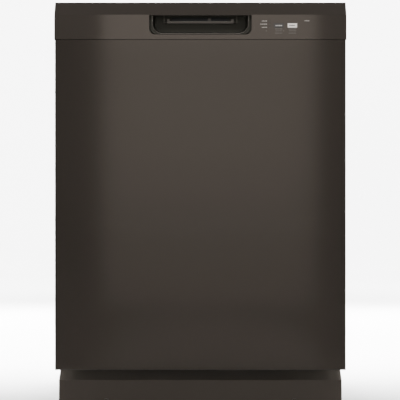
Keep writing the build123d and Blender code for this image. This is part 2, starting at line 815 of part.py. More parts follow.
with BuildPart() as drain_pump:
    rod((-sump_r - slack, sump_y, drain_z), (-sump_r - 10, sump_y, drain_z), 14)
    rod((-sump_r - 8, sump_y, drain_z), (-sump_r - 84, sump_y, drain_z), 28)
    rod((drain_x, sump_y, drain_z), (drain_x, rail_back + 2, drain_z), drain_r - 1.5)
    rod((drain_x, rail_back + 2, drain_z), (drain_x, back, drain_z), drain_r)
    rod((drain_x, sump_y + 40, drain_z), (drain_x, back, drain_z), drain_r - 4, Mode.SUBTRACT)
save(drain_pump, "drain_pump")

with BuildPart() as inlet_valve:
    inlet_z, body_z, coil_z, top_z = valve_z
    outlet_z = (body_z + coil_z) / 2
    block((valve_x - 24, valve_x + 24), (cross_y + 3, valve_y + 20), (body_z, coil_z))
    rod((valve_x, valve_y, coil_z), (valve_x, valve_y, top_z), 16)
    rod((valve_x, valve_y, inlet_z), (valve_x, valve_y, body_z), inlet_r)
    rod((valve_x, valve_y, inlet_z), (valve_x, valve_y, body_z - 8), inlet_r - 4, Mode.SUBTRACT)
    rod((valve_x, valve_y + 20, outlet_z), (valve_x, valve_y + 44, outlet_z), 7)
save(inlet_valve, "inlet_valve")

with BuildPart() as junction_box:
    block((box_x - box_half, box_x + box_half), box_y, box_z)
    floor_z = box_z[0] + box_wall
    block(
        (box_x - box_half + box_wall, box_x + box_half - box_wall),
        (box_y[0] + box_wall, box_y[1] - box_wall),
        (floor_z, box_z[1]),
        Mode.SUBTRACT,
    )
    rod((box_x, entry_y, box_z[0]), (box_x, entry_y, floor_z), entry_r, Mode.SUBTRACT)
save(junction_box, "junction_box")

with BuildPart() as junction_cover:
    block((box_x - box_half - 1, box_x + box_half + 1), box_y, (box_z[1], box_z[1] + 1.5))
save(junction_cover, "junction_cover")


# Heater: one bent tube lying round the sump, its ends down through the tub floor.
def corner(a, b, centre, radius):
    mid = (Vector(*a) + Vector(*b)) * 0.5 - Vector(*centre)
    ThreePointArc(a, Vector(*centre) + mid.normalized() * radius, b)


hx = heater_half
hc = heater_corner
hy0 = sump_y - hx
hy1 = sump_y + hx
hz = heater_z
lx = heater_leg_x
bend = heater_bend
with BuildPart() as heater_loop:
    with BuildLine() as loop:
        Line((-lx, hy0, rail_top - 14), (-lx, hy0, hz - bend))
        corner((-lx, hy0, hz - bend), (-lx - bend, hy0, hz), (-lx - bend, hy0, hz - bend), bend)
        Line((-lx - bend, hy0, hz), (-hx + hc, hy0, hz))
        corner((-hx + hc, hy0, hz), (-hx, hy0 + hc, hz), (-hx + hc, hy0 + hc, hz), hc)
        Line((-hx, hy0 + hc, hz), (-hx, hy1 - hc, hz))
        corner((-hx, hy1 - hc, hz), (-hx + hc, hy1, hz), (-hx + hc, hy1 - hc, hz), hc)
        Line((-hx + hc, hy1, hz), (hx - hc, hy1, hz))
        corner((hx - hc, hy1, hz), (hx, hy1 - hc, hz), (hx - hc, hy1 - hc, hz), hc)
        Line((hx, hy1 - hc, hz), (hx, hy0 + hc, hz))
        corner((hx, hy0 + hc, hz), (hx - hc, hy0, hz), (hx - hc, hy0 + hc, hz), hc)
        Line((hx - hc, hy0, hz), (lx + bend, hy0, hz))
        corner((lx + bend, hy0, hz), (lx, hy0, hz - bend), (lx + bend, hy0, hz - bend), bend)
        Line((lx, hy0, hz - bend), (lx, hy0, rail_top - 14))
    with BuildSketch(Plane(origin=loop.line @ 0, z_dir=loop.line % 0)):
        Circle(heater_r)
    sweep(path=loop.line)
save(heater_loop, "heater_loop")

with BuildPart() as feed_tube:
    with BuildLine() as rise:
        FilletPolyline((0, feed_y, tub_floor), (0, feed_y, feed_top), (0, sump_y + 29, feed_top), radius=24)
    with BuildSketch(Plane.XY.offset(tub_floor)):
        with Locations((0, feed_y)):
            Circle(feed_r)
    sweep(path=rise.line)
    rod((0, rack_back + 5, manifold_z), (0, feed_y, manifold_z), 11)
    for z in (tub_floor + 187, feed_top - 120):
        block((-16, 16), (feed_y, tub_back - tub_wall), (z, z + 12))
save(feed_tube, "feed_tube")

with BuildPart() as top_nozzle:
    rod((0, sump_y, feed_top - 14), (0, sump_y, tub_top), 28)
    for k in range(8):
        angle = radians(45 * k)
        at = (18 * cos(angle), sump_y + 18 * sin(angle))
        rod((*at, feed_top - 14), (*at, feed_top - 8), 2.0, Mode.SUBTRACT)
save(top_nozzle, "top_nozzle")


# Spray arms: hollow-looking blades with jet holes, on a hub bored for the spindle.
def spray(half, bottom, hub_bottom, hub_top, bore):
    with BuildSketch(Plane.XY.offset(bottom)) as blade:
        with Locations((0, sump_y)):
            Polygon(
                (-half + 16, -arm_wide / 3),
                (-24, -arm_wide / 2),
                (24, -arm_wide / 2),
                (half - 16, -arm_wide / 3),
                (half, 0),
                (half - 16, arm_wide / 3),
                (24, arm_wide / 2),
                (-24, arm_wide / 2),
                (-half + 16, arm_wide / 3),
                (-half, 0),
                align=None,
            )
    extrude(blade.sketch, amount=arm_height)
    rod((0, sump_y, hub_bottom), (0, sump_y, hub_top), arm_hub_r)
    for k in range(1, 6):
        for s in (-1, 1):
            at = (s * half * (0.14 + 0.15 * k), sump_y + s * (6 - 2 * k))
            rod((*at, bottom + arm_height - 3), (*at, bottom + arm_height), 1.8, Mode.SUBTRACT)
    rod((0, sump_y, hub_bottom), (0, sump_y, hub_top), bore, Mode.SUBTRACT)


with BuildPart() as lower_spray_arm:
    spray(lower_arm_half, arm_bottom + 2, arm_bottom, arm_bottom + arm_hub_height, spindle_r + 0.1)
save(lower_spray_arm, "lower_spray_arm")

with BuildPart() as spray_arm_cap:
    cap_z0 = arm_bottom + arm_hub_height + slack
    rod((0, sump_y, cap_z0), (0, sump_y, cap_z0 + 8), 13)
    rod((0, sump_y, cap_z0), (0, sump_y, arm_bottom + arm_hub_height + 7), spindle_r, Mode.SUBTRACT)
save(spray_arm_cap, "spray_arm_cap")

with BuildPart() as overflow_float:
    rod((float_x, float_y, tub_floor + slack), (float_x, float_y, tub_floor + 26), float_r)
    fillet(overflow_float.faces().sort_by(Axis.Z)[-1].edges(), 8)
    rod((float_x, float_y, rail_top - 22), (float_x, float_y, tub_floor + slack), float_stem_r)
save(overflow_float, "overflow_float")

# Lower rack: flat nets for floor and walls, the front one leaning out, and stub axles under the floor.
lower_base = lower_floor + wire + seat
wall_high = lower_top - lower_base
rack_deep = rack_back - lower_front
with BuildPart() as lower_rack:
    with BuildSketch(Plane.XY.offset(lower_floor)):
        with Locations((0, (lower_front + rack_back) / 2)):
            net(2 * lower_half, rack_deep, 14, 12)
    extrude(amount=wire)
    for x in (-lower_half, lower_half - wire):
        with BuildSketch(side(x)):
            lean_y = lower_front - lower_lean * wall_high / (lower_top - lower_floor)
            Polygon(
                (lower_front, lower_base),
                (rack_back, lower_base),
                (rack_back, lower_top),
                (lean_y + 2, lower_top),
                align=None,
            )
            Polygon(
                (lower_front + 2, lower_base + wire),
                (lower_front + 2, lower_top - wire),
                (lean_y + 8, lower_top - wire),
                align=None,
                mode=Mode.SUBTRACT,
            )
            gap = (rack_deep - 12 * wire) / 11
            with Locations(((lower_front + rack_back) / 2 + 2, (lower_base + lower_top) / 2)):
                with GridLocations(gap + wire, wall_high / 2 - 1, 11, 2):
                    Rectangle(gap, wall_high / 2 - 6, mode=Mode.SUBTRACT)
        extrude(amount=wire)
    with BuildSketch(facing(rack_back)):
        with Locations((0, (lower_base + lower_top) / 2)):
            net(2 * (lower_half - wire - seat), wall_high, 12, 2)
    extrude(amount=wire)
    tilt = degrees(atan2(lower_lean, lower_top - lower_floor))
    slope = hypot(lower_lean, lower_top - lower_floor)
    lean_plane = Plane(
        origin=(0, lower_front - 0.2, lower_floor),
        x_dir=(1, 0, 0),
        z_dir=(0, -cos(radians(tilt)), -sin(radians(tilt))),
    )
    with BuildSketch(lean_plane):
        with Locations((0, slope / 2)):
            net(2 * lower_half, slope, 12, 2)
    extrude(amount=wire)
    for s in (-1, 1):
        for y in (wheel_front_y, wheel_rear_y):
            near = wheel_near + wheel_wide + 1
            block(sorted((s * near, s * (near + 6))), (y - 9, y + 9), (wheel_z - 8, lower_floor - seat))
            rod((s * near, y, wheel_z), (s * (wheel_near - 1), y, wheel_z), axle_r)
save(lower_rack, "lower_rack")

with BuildPart() as lower_rack_tines:
    row_wide = 2 * lower_half - 24
    rows = [tine_row_front + k * tine_row_gap for k in range(5)]
    for y in [*rows, tine_row_last]:
        with BuildSketch(facing(y)):
            with Locations((0, lower_base + wire / 2)):
                Rectangle(row_wide, wire)
            with GridLocations(tine_pitch, 0, int(row_wide / tine_pitch), 1):
                with Locations((0, lower_base + lower_tine / 2)):
                    Rectangle(wire, lower_tine)
        extrude(amount=-wire)
save(lower_rack_tines, "lower_rack_tines")

basket_y = (lower_front + 9, lower_front + 79)
basket_z = (lower_base + 0.1, lower_top - 10)
cell = (2 * basket_half - (basket_cells + 1) * basket_wall) / basket_cells
with BuildPart() as silverware_basket:
    block((-basket_half, basket_half), basket_y, basket_z)
    with BuildSketch(Plane.XY.offset(basket_z[0] + basket_wall)):
        with Locations((0, (basket_y[0] + basket_y[1]) / 2)):
            with GridLocations(cell + basket_wall, 0, basket_cells, 1):
                Rectangle(cell, basket_y[1] - basket_y[0] - 2 * basket_wall)
    extrude(amount=basket_z[1] - basket_z[0], mode=Mode.SUBTRACT)
save(silverware_basket, "silverware_basket")

for pair, y in {"lower_wheels_front": wheel_front_y, "lower_wheels_rear": wheel_rear_y}.items():
    with BuildPart() as wheels:
        for s in (-1, 1):
            ends = ((s * wheel_near, y, wheel_z), (s * (wheel_near + wheel_wide), y, wheel_z))
            rod(*ends, wheel_r)
            rod(*ends, axle_r + run_fit, Mode.SUBTRACT)
    save(wheels, pair)

# Upper rack on its side rails, which run on rollers held by studs in the tub's walls.
upper_base = upper_floor + wire + seat
with BuildPart() as upper_rack:
    with BuildSketch(Plane.XY.offset(upper_floor)):
        with Locations((0, (upper_front + upper_back) / 2)):
            net(2 * upper_half, upper_back - upper_front, 14, 12)
    extrude(amount=wire)
    for x in (-upper_half, upper_half - wire):
        with BuildSketch(side(x)):
            with Locations(((upper_front + upper_back) / 2, (upper_base + upper_top) / 2)):
                net(upper_back - upper_front, upper_top - upper_base, 12, 2)
        extrude(amount=wire)
    for y in (upper_front + wire, upper_back):
        with BuildSketch(facing(y)):
            with Locations((0, (upper_base + upper_top) / 2)):
                net(2 * (upper_half - wire - seat), upper_top - upper_base, 12, 2)
        extrude(amount=wire)
save(upper_rack, "upper_rack")

with BuildPart() as upper_rack_tines:
    row_long = upper_back - upper_front - 20
    middle = (upper_front + upper_back) / 2
    for x in [s * at for s in (-1, 1) for at in upper_tine_rows]:
        with BuildSketch(side(x - wire / 2)):
            with Locations((middle, upper_base + wire / 2)):
                Rectangle(row_long, wire)
            with Locations((middle, upper_base + upper_tine / 2)):
                with GridLocations(tine_pitch, 0, int(row_long / tine_pitch), 1):
                    Rectangle(wire, upper_tine)
        extrude(amount=wire)
save(upper_rack_tines, "upper_rack_tines")

slide_y = (upper_front - 4, upper_back)
with BuildPart() as upper_rack_rails:
    for s in (-1, 1):
        web_x = sorted((s * upper_half, s * (upper_half + slide_gauge)))
        block(web_x, slide_y, (slide_z - slide_half, slide_z + slide_half))
        for z in (slide_z - slide_half, slide_z + slide_half - slide_gauge):
            block(sorted((s * upper_half, s * (upper_half + 14))), slide_y, (z, z + slide_gauge))
save(upper_rack_rails, "upper_rack_rails")

with BuildPart() as roller_studs:
    for s in (-1, 1):
        for y in (roller_front_y, roller_rear_y):
            rod((s * (upper_half + 3), y, slide_z), (s * tub_half, y, slide_z), stud_r)
save(roller_studs, "roller_studs")

for pair, y in {"rail_rollers_front": roller_front_y, "rail_rollers_rear": roller_rear_y}.items():
    with BuildPart() as rollers:
        for s in (-1, 1):
            ends = ((s * (upper_half + 4), y, slide_z), (s * (upper_half + 13), y, slide_z))
            rod(*ends, roller_r)
            rod(*ends, stud_r + run_fit, Mode.SUBTRACT)
    save(rollers, pair)

# Middle spray arm under the upper rack, on the feed that docks at the back.
hub_top = manifold_z - manifold_r - 2
hub_bottom = hub_top - arm_hub_height
with BuildPart() as mid_arm_feed:
    rod((0, sump_y, manifold_z), (0, rack_back + 4.6, manifold_z), manifold_r)
    rod((0, sump_y, hub_top + 0.4), (0, sump_y, upper_floor), 15)
    rod((0, sump_y, hub_bottom - 3), (0, sump_y, hub_top + 1), 6.0)
    rod((0, sump_y, hub_bottom - 3), (0, sump_y, hub_bottom - 0.4), 11)
    block((-5, 5), (upper_back - 24, upper_back - 4), (manifold_z, upper_floor))
save(mid_arm_feed, "mid_arm_feed")

with BuildPart() as mid_spray_arm:
    spray(mid_arm_half, hub_bottom + 2, hub_bottom, hub_top, 6.1)
save(mid_spray_arm, "mid_spray_arm")
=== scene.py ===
import math
import bpy
import numpy as np
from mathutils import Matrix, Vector


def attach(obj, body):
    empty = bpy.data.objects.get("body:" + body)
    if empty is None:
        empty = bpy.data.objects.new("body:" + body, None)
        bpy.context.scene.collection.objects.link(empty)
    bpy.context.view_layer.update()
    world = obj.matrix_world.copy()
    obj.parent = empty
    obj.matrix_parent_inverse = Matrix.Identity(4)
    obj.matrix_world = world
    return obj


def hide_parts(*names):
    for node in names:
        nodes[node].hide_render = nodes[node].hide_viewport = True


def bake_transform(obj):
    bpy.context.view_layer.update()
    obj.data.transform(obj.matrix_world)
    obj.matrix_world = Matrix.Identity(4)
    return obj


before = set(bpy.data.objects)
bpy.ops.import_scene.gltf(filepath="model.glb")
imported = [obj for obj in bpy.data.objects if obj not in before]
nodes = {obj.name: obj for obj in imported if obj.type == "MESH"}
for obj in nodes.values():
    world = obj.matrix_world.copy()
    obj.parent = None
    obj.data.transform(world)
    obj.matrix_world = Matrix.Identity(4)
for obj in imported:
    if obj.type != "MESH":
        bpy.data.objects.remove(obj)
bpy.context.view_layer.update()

mm = 0.001
xAxis, yAxis, zAxis = np.eye(3)
print("frame loaded:", len(nodes), "nodes")


# small tools for surfaces; each one works on whole arrays

# a ring of points round a circle or ellipse: (a cos v, b sin v)
def ovalRing(a, b=None, sides=10):
    v = np.arange(sides) * 2 * np.pi / sides
    return np.stack((a * np.cos(v), (a if b is None else b) * np.sin(v)), -1)


# a rectangle with round corners, counter-clockwise: quarter circles set at its four corners
def roundRect(halfA, halfB, corner, steps=5):
    t = np.linspace(0, np.pi / 2, steps)
    quarter = np.stack((np.cos(t), np.sin(t)), -1) * corner
    a, b = halfA - corner, halfB - corner
    turned = [quarter, quarter[:, ::-1] * (-1, 1), -quarter, quarter[:, ::-1] * (1, -1)]
    return np.concatenate([q + c for q, c in zip(turned, ((a, b), (-a, b), (-a, -b), (a, -b)))])


# a path through corner points, each corner eased by a parabola: (1-t)^2 A + 2t(1-t) P + t^2 B
def bentPath(corners, bend, steps=7):
    corners = np.asarray(corners, float)
    t = np.linspace(0, 1, steps)[:, None]
    runs = [corners[:1]]
    for before, at, after in zip(corners[:-2], corners[1:-1], corners[2:]):
        a = at + (before - at) * bend / np.linalg.norm(before - at)
        b = at + (after - at) * bend / np.linalg.norm(after - at)
        runs.append((1 - t) ** 2 * a + 2 * t * (1 - t) * at + t ** 2 * b)
    return np.concatenate(runs + [corners[-1:]])


# faces between neighbouring rings of a (wires, steps, sides, 3) array, with the open ends capped
def skin(rings, closed=False):
    wires, steps, sides = rings.shape[:3]
    index = np.arange(wires * steps * sides).reshape(wires, steps, sides)
    ahead = np.roll(index, -1, 2)
    if closed:
        quads = np.stack((index, ahead, np.roll(ahead, -1, 1), np.roll(index, -1, 1)), -1)
        return rings.reshape(-1, 3), quads.reshape(-1, 4).tolist()
    quads = np.stack((index[:, :-1], ahead[:, :-1], ahead[:, 1:], index[:, 1:]), -1)
    caps = np.concatenate((index[:, 0, ::-1], index[:, -1]))
    return rings.reshape(-1, 3), quads.reshape(-1, 4).tolist() + caps.tolist()


# a profile carried along paths: path(u) + size(u) * (p(v) * normal + q(v) * (tangent x normal))
def carry(paths, profile, normal, closed=False, size=None):
    paths = np.asarray(paths, float)
    paths = paths[None] if paths.ndim == 2 else paths
    if closed:
        tangent = np.roll(paths, -1, 1) - np.roll(paths, 1, 1)
    else:
        tangent = np.gradient(paths, axis=1)
    tangent = tangent / np.linalg.norm(tangent, axis=2, keepdims=True)
    first = normal - (tangent @ normal)[..., None] * tangent
    first = first / np.linalg.norm(first, axis=2, keepdims=True)
    second = np.cross(tangent, first)
    ring = profile[:, 0, None] * first[:, :, None] + profile[:, 1, None] * second[:, :, None]
    grow = 1.0 if size is None else np.asarray(size, float)[None, :, None, None]
    return skin(paths[:, :, None] + grow * ring, closed)


# straight bars with softly domed ends from start to end points, in bulk
def bars(starts, ends, profile, normal, dome=0.0):
    starts, ends = np.asarray(starts, float), np.asarray(ends, float)
    if not dome:
        return carry(np.stack((starts, ends), 1), profile, normal)
    long = np.linalg.norm(ends - starts, axis=1, keepdims=True)
    along = (ends - starts) / long
    reach = dome * np.array((0, 0.12, 0.5, 1.0))
    lead = [starts + along * r for r in reach]
    tail = [ends - along * r for r in reach[::-1]]
    return carry(np.stack(lead + tail, 1), profile, normal, size=(0.25, 0.6, 0.9, 1, 1, 0.9, 0.6, 0.25))


# a flat tile standing on the front: an outline in x and z between two depths
def tile(outline, yFront, yBack):
    layers = [np.column_stack((outline[:, 0], np.full(len(outline), y), outline[:, 1]))
              for y in (yBack, yFront)]
    return skin(np.stack(layers)[None])


# several shapes as one: their points in a row, their faces counted on
def gather(shapes):
    offset, points, faces = 0, [], []
    for p, f in shapes:
        points.append(p)
        faces += [[i + offset for i in face] for face in f]
        offset += len(p)
    return np.concatenate(points), faces


# points in millimetres become a mesh that rides its body and stands in for CAD nodes
def putPiece(name, shape, body, finish, smooth=True, stands=()):
    points, faces = shape
    mesh = bpy.data.meshes.new(name)
    mesh.from_pydata((points * mm).tolist(), [], faces)
    mesh.polygons.foreach_set("use_smooth", np.full(len(mesh.polygons), smooth))
    mesh.materials.append(finish)
    mesh.update()
    obj = bpy.data.objects.new(name, mesh)
    bpy.context.scene.collection.objects.link(obj)
    if stands:
        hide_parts(*stands)
    if body:
        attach(obj, body)
    return obj


# finishes: node materials on Object coordinates

# a shader node with some of its sockets and properties set
def addNode(tree, kind, sockets=None, **props):
    node = tree.nodes.new("ShaderNode" + kind)
    for key, value in props.items():
        setattr(node, key, value)
    for key, value in (sockets or {}).items():
        node.inputs[key].default_value = value
    return node


# a new material: its tree, its shader and the piece's own coordinates
def newFinish(name, sockets=None):
    finish = bpy.data.materials.new(name)
    finish.use_nodes = True
    tree = finish.node_tree
    shader = tree.nodes["Principled BSDF"]
    for key, value in (sockets or {}).items():
        shader.inputs[key].default_value = value
    place = addNode(tree, "TexCoord").outputs["Object"]
    return finish, tree, shader, place


# coordinates scaled along each axis
def stretched(tree, place, scale):
    mapping = addNode(tree, "Mapping", {"Scale": scale})
    tree.links.new(place, mapping.inputs["Vector"])
    return mapping.outputs["Vector"]


# smooth noise from 0 to 1
def noise(tree, place, scale, detail=3.0):
    node = addNode(tree, "TexNoise", {"Scale": scale, "Detail": detail, "Roughness": 0.55})
    tree.links.new(place, node.inputs["Vector"])
    return node.outputs["Fac"]


# a value between near and far brought to low and high, and held there outside
def spread(tree, value, low, high, near=0.3, far=0.7):
    node = addNode(tree, "MapRange", {"From Min": near, "From Max": far, "To Min": low, "To Max": high})
    tree.links.new(value, node.inputs["Value"])
    return node.outputs["Result"]


# a value turned into a colour by a ramp of stops
def toned(tree, value, stops):
    ramp = addNode(tree, "ValToRGB")
    band = ramp.color_ramp
    while len(band.elements) < len(stops):
        band.elements.new(0.5)
    for element, (at, colour) in zip(band.elements, stops):
        element.position = at
        element.color = (*colour, 1)
    tree.links.new(value, ramp.inputs["Fac"])
    return ramp.outputs["Color"]


# two colours mixed by a factor; each of the three is a socket or a plain value
def mixed(tree, factor, a, b, way="MIX"):
    node = addNode(tree, "Mix", data_type="RGBA", blend_type=way)
    for socket, value in ((node.inputs[0], factor), (node.inputs[6], a), (node.inputs[7], b)):
        if hasattr(value, "is_linked"):
            tree.links.new(value, socket)
        else:
            socket.default_value = value
    return node.outputs[2]


# a mask from 0 to 1 along one axis of the piece
def alongAxis(tree, place, axis, near, far):
    parts = addNode(tree, "SeparateXYZ")
    tree.links.new(place, parts.inputs[0])
    return spread(tree, parts.outputs[axis], 0.0, 1.0, near, far)


# a mask from 0 to 1 by distance to either side of the middle plane
def fromMiddle(tree, place, near, far):
    parts = addNode(tree, "SeparateXYZ")
    tree.links.new(place, parts.inputs[0])
    off = addNode(tree, "Math", operation="ABSOLUTE")
    tree.links.new(parts.outputs["X"], off.inputs[0])
    return spread(tree, off.outputs[0], 0.0, 1.0, near, far)


# a small relief from a height value
def lifted(tree, shader, height, strength, depth):
    bump = addNode(tree, "Bump", {"Strength": strength, "Distance": depth})
    tree.links.new(height, bump.inputs["Height"])
    tree.links.new(bump.outputs["Normal"], shader.inputs["Normal"])


# a moulded or painted skin: tone drifts slowly, gloss varies with a fine grain,
# and the grain stands up a little
def moulded(name, dark, light, rough=(0.42, 0.5), drift=7.0, grain=1400.0, lift=0.08, depth=0.0003,
            stretch=(1, 1, 1), **sockets):
    finish, tree, shader, place = newFinish(name, {k.replace("_", " "): v for k, v in sockets.items()})
    laid = stretched(tree, place, stretch)
    fine = noise(tree, laid, grain, 2.0)
    tone = toned(tree, noise(tree, laid, drift, 4.0), ((0.3, dark), (0.7, light)))
    tree.links.new(tone, shader.inputs["Base Color"])
    tree.links.new(spread(tree, fine, *rough), shader.inputs["Roughness"])
    lifted(tree, shader, fine, lift, depth)
    return finish


paintFlake = dict(scale=2600.0, share=0.16, tone=(0.012, 0.0102, 0.0086, 1))
# the two edges that face each other across the joint are matt and carry the door's dark tone: painted shade,
# so that the joint reads dark and no light is mirrored through it; the kick's sloped hem under the door is
# painted paler and matt: painted light on a hem that lies in the door's shadow; an edge is a pair of heights
# between which it begins, in the order from the glossy side to the matt one
doorCoat = dict(dark=(0.0092, 0.0075, 0.0061), light=(0.0100, 0.0082, 0.0067), rough=0.10, peel=420.0,
                edge=(0.7801, 0.7803), paintedEdgeTone=(0.0092, 0.0075, 0.0061))
consoleCoat = dict(dark=(0.0190, 0.0159, 0.0134), light=(0.0199, 0.0167, 0.0141), rough=0.07, peel=600.0,
                   edge=(0.7814, 0.7812), paintedEdgeTone=(0.0092, 0.0075, 0.0061))
kickCoat = dict(dark=(0.0305, 0.0256, 0.0215), light=(0.0323, 0.0271, 0.0228), rough=0.34, peel=420.0,
                edge=(0.0674, 0.0684), paintedEdgeTone=(0.125, 0.111, 0.094))


# satin paint on steel: an even dark coat with a faint orange peel, dust-fine flakes and a matt edge with its
# own tone: painted shade on the joint's edges, painted light on the kick's hem
def paintedSteel(name, s):
    finish, tree, shader, place = newFinish(name, {"Specular Tint": (1.0, 0.86, 0.74, 1), "IOR": 1.45})
    coat = toned(tree, noise(tree, place, 3.0, 2.0), ((0.35, s["dark"]), (0.65, s["light"])))
    flake = addNode(tree, "TexVoronoi", {"Scale": paintFlake["scale"]})
    tree.links.new(place, flake.inputs["Vector"])
    glint = spread(tree, flake.outputs["Distance"], 0.0, paintFlake["share"], 0.25, 0.05)
    # the edge mask: painted shade on the joint's edges, painted light on the kick's hem
    matt = alongAxis(tree, place, "Z", *s["edge"])
    coat = mixed(tree, matt, coat, (*s["paintedEdgeTone"], 1))
    tree.links.new(spread(tree, matt, 0.5, 0.0, 0.0, 1.0), shader.inputs["Specular IOR Level"])
    tree.links.new(mixed(tree, glint, coat, paintFlake["tone"]), shader.inputs["Base Color"])
    peel = noise(tree, place, s["peel"], 2.0)
    tree.links.new(spread(tree, peel, s["rough"] - 0.015, s["rough"] + 0.015), shader.inputs["Roughness"])
    lifted(tree, shader, peel, 0.015, 0.0002)
    return finish


doorPaint = paintedSteel("door_paint", doorCoat)
consoleSkin = paintedSteel("console_skin", consoleCoat)
kickPaint = paintedSteel("kick_paint", kickCoat)


# zinc coated sheet: crystal patches of slightly different grey, each with its own gloss
def zincSheet(name, dark, light, rough):
    finish, tree, shader, place = newFinish(name, {"Metallic": 1.0})
    patch = addNode(tree, "TexVoronoi", {"Scale": 110.0, "Randomness": 1.0})
    tree.links.new(place, patch.inputs["Vector"])
    tone = toned(tree, patch.outputs["Color"], ((0.1, dark), (0.9, light)))
    tree.links.new(tone, shader.inputs["Base Color"])
    gloss = spread(tree, patch.outputs["Color"], rough, rough + 0.18, 0.1, 0.9)
    tree.links.new(gloss, shader.inputs["Roughness"])
    lifted(tree, shader, noise(tree, place, 500.0, 3.0), 0.05, 0.0002)
    return finish


# drawn or rolled steel: fine lines along one axis
def drawnSteel(name, dark, light, rough, stretch):
    return moulded(name, dark, light, rough, drift=3.0, grain=6.0, lift=0.06, depth=0.0001,
                   stretch=stretch, Metallic=1.0)


# tub plastic: grey with darker and paler specks, and where asked a painted shade, near black, over one corner
# of the piece
def speckled(name, base, darkSpeck, paleSpeck, rough, paintedShade=None):
    finish, tree, shader, place = newFinish(name)
    specks = addNode(tree, "TexVoronoi", {"Scale": 520.0, "Randomness": 1.0})
    tree.links.new(place, specks.inputs["Vector"])
    pale = addNode(tree, "TexVoronoi", {"Scale": 310.0, "Randomness": 1.0})
    tree.links.new(place, pale.inputs["Vector"])
    shaded = tuple(c * 0.94 for c in base)
    slow = toned(tree, noise(tree, place, 5.0, 3.0), ((0.3, shaded), (0.7, base)))
    darkAt = spread(tree, specks.outputs["Distance"], 0.75, 0.0, 0.10, 0.24)
    paleAt = spread(tree, pale.outputs["Distance"], 0.6, 0.0, 0.06, 0.16)
    both = mixed(tree, paleAt, mixed(tree, darkAt, slow, (*darkSpeck, 1)), (*paleSpeck, 1))
    if paintedShade:
        # painted shade where the two masks meet
        where = addNode(tree, "Math", operation="MULTIPLY")
        tree.links.new(alongAxis(tree, place, *paintedShade["depth"]), where.inputs[0])
        tree.links.new(alongAxis(tree, place, *paintedShade["height"]), where.inputs[1])
        both = mixed(tree, where.outputs[0], both, (*paintedShade["tone"], 1))
    tree.links.new(both, shader.inputs["Base Color"])
    fine = noise(tree, place, 900.0, 2.0)
    tree.links.new(spread(tree, fine, *rough), shader.inputs["Roughness"])
    lifted(tree, shader, fine, 0.06, 0.0002)
    return finish


# felt: short fibres from two crossing stretched noises over slow blotches,
# with painted shade along the stitch lines, where the quilting dips
def feltFinish(name, dark, light):
    soft = {"Sheen Weight": 0.04, "Sheen Roughness": 0.6, "Specular IOR Level": 0.1}
    finish, tree, shader, place = newFinish(name, soft)
    across = noise(tree, stretched(tree, place, (1600, 160, 300)), 1.0, 3.0)
    along = noise(tree, stretched(tree, place, (180, 1500, 1100)), 1.0, 3.0)
    fibre = addNode(tree, "Math", operation="MAXIMUM")
    tree.links.new(across, fibre.inputs[0])
    tree.links.new(along, fibre.inputs[1])
    blotch = toned(tree, noise(tree, place, 16.0, 5.0), ((0.3, dark), (0.7, light)))
    streak = toned(tree, fibre.outputs[0], ((0.45, (0.4, 0.4, 0.4)), (0.75, (1, 1, 1))))
    puff = addNode(tree, "Attribute", attribute_name="puff").outputs["Fac"]
    # painted shade: darker where the quilting is low, at the stitches
    seam = toned(tree, puff, ((0.2, (0.5, 0.5, 0.5)), (0.55, (1, 1, 1))))
    worn = mixed(tree, 0.55, blotch, streak, "MULTIPLY")
    tree.links.new(mixed(tree, 1.0, worn, seam, "MULTIPLY"), shader.inputs["Base Color"])
    tree.links.new(spread(tree, fibre.outputs[0], 0.98, 0.85), shader.inputs["Roughness"])
    lifted(tree, shader, fibre.outputs[0], 0.5, 0.0008)
    return finish


# fine filter plate: rows of small round holes drawn by two crossing sine waves;
# a wave of scale k repeats every 2 pi / (20 k)
def piercedPlate(name, dark, light, pitch):
    finish, tree, shader, place = newFinish(name, {"Metallic": 1.0})
    rows = []
    for axis in ("X", "Y"):
        wave = addNode(tree, "TexWave", {"Scale": 2 * math.pi / pitch / 20.0, "Distortion": 0.0},
                       bands_direction=axis)
        tree.links.new(place, wave.inputs["Vector"])
        rows.append(wave.outputs["Fac"])
    both = addNode(tree, "Math", operation="MULTIPLY")
    tree.links.new(rows[0], both.inputs[0])
    tree.links.new(rows[1], both.inputs[1])
    hole = spread(tree, both.outputs[0], 0.0, 1.0, 0.45, 0.6)
    steel = toned(tree, noise(tree, place, 40.0, 3.0), ((0.3, dark), (0.7, light)))
    tree.links.new(mixed(tree, hole, steel, (0.01, 0.01, 0.01, 1)), shader.inputs["Base Color"])
    tree.links.new(spread(tree, hole, 0.3, 0.7, 0.0, 1.0), shader.inputs["Roughness"])
    return finish


# heater tube: drawn steel gone straw and blue where it gets hot
def hotSteel(name):
    finish, tree, shader, place = newFinish(name, {"Metallic": 1.0})
    heat = noise(tree, place, 14.0, 4.0)
    grey, straw, blue = (0.16, 0.15, 0.15), (0.22, 0.19, 0.15), (0.12, 0.125, 0.15)
    colour = toned(tree, heat, ((0.3, grey), (0.5, straw), (0.68, blue)))
    tree.links.new(colour, shader.inputs["Base Color"])
    fine = noise(tree, place, 700.0, 2.0)
    tree.links.new(spread(tree, fine, 0.32, 0.5), shader.inputs["Roughness"])
    lifted(tree, shader, fine, 0.06, 0.0002)
    return finish


# circuit board: green mask with paler copper runs on a brick pattern
def boardFinish(name):
    finish, tree, shader, place = newFinish(name, {"Coat Weight": 0.3})
    runs = addNode(tree, "TexBrick", {"Color1": (0.01, 0.09, 0.03, 1), "Color2": (0.012, 0.11, 0.04, 1),
                                      "Mortar": (0.05, 0.22, 0.09, 1), "Scale": 120.0, "Mortar Size": 0.03})
    turned = addNode(tree, "Mapping", {"Rotation": (math.pi / 2, 0, 0)})
    tree.links.new(place, turned.inputs["Vector"])
    tree.links.new(turned.outputs["Vector"], runs.inputs["Vector"])
    tree.links.new(runs.outputs["Color"], shader.inputs["Base Color"])
    tree.links.new(spread(tree, noise(tree, place, 300.0), 0.3, 0.45), shader.inputs["Roughness"])
    lifted(tree, shader, runs.outputs["Fac"], 0.2, 0.0002)
    return finish


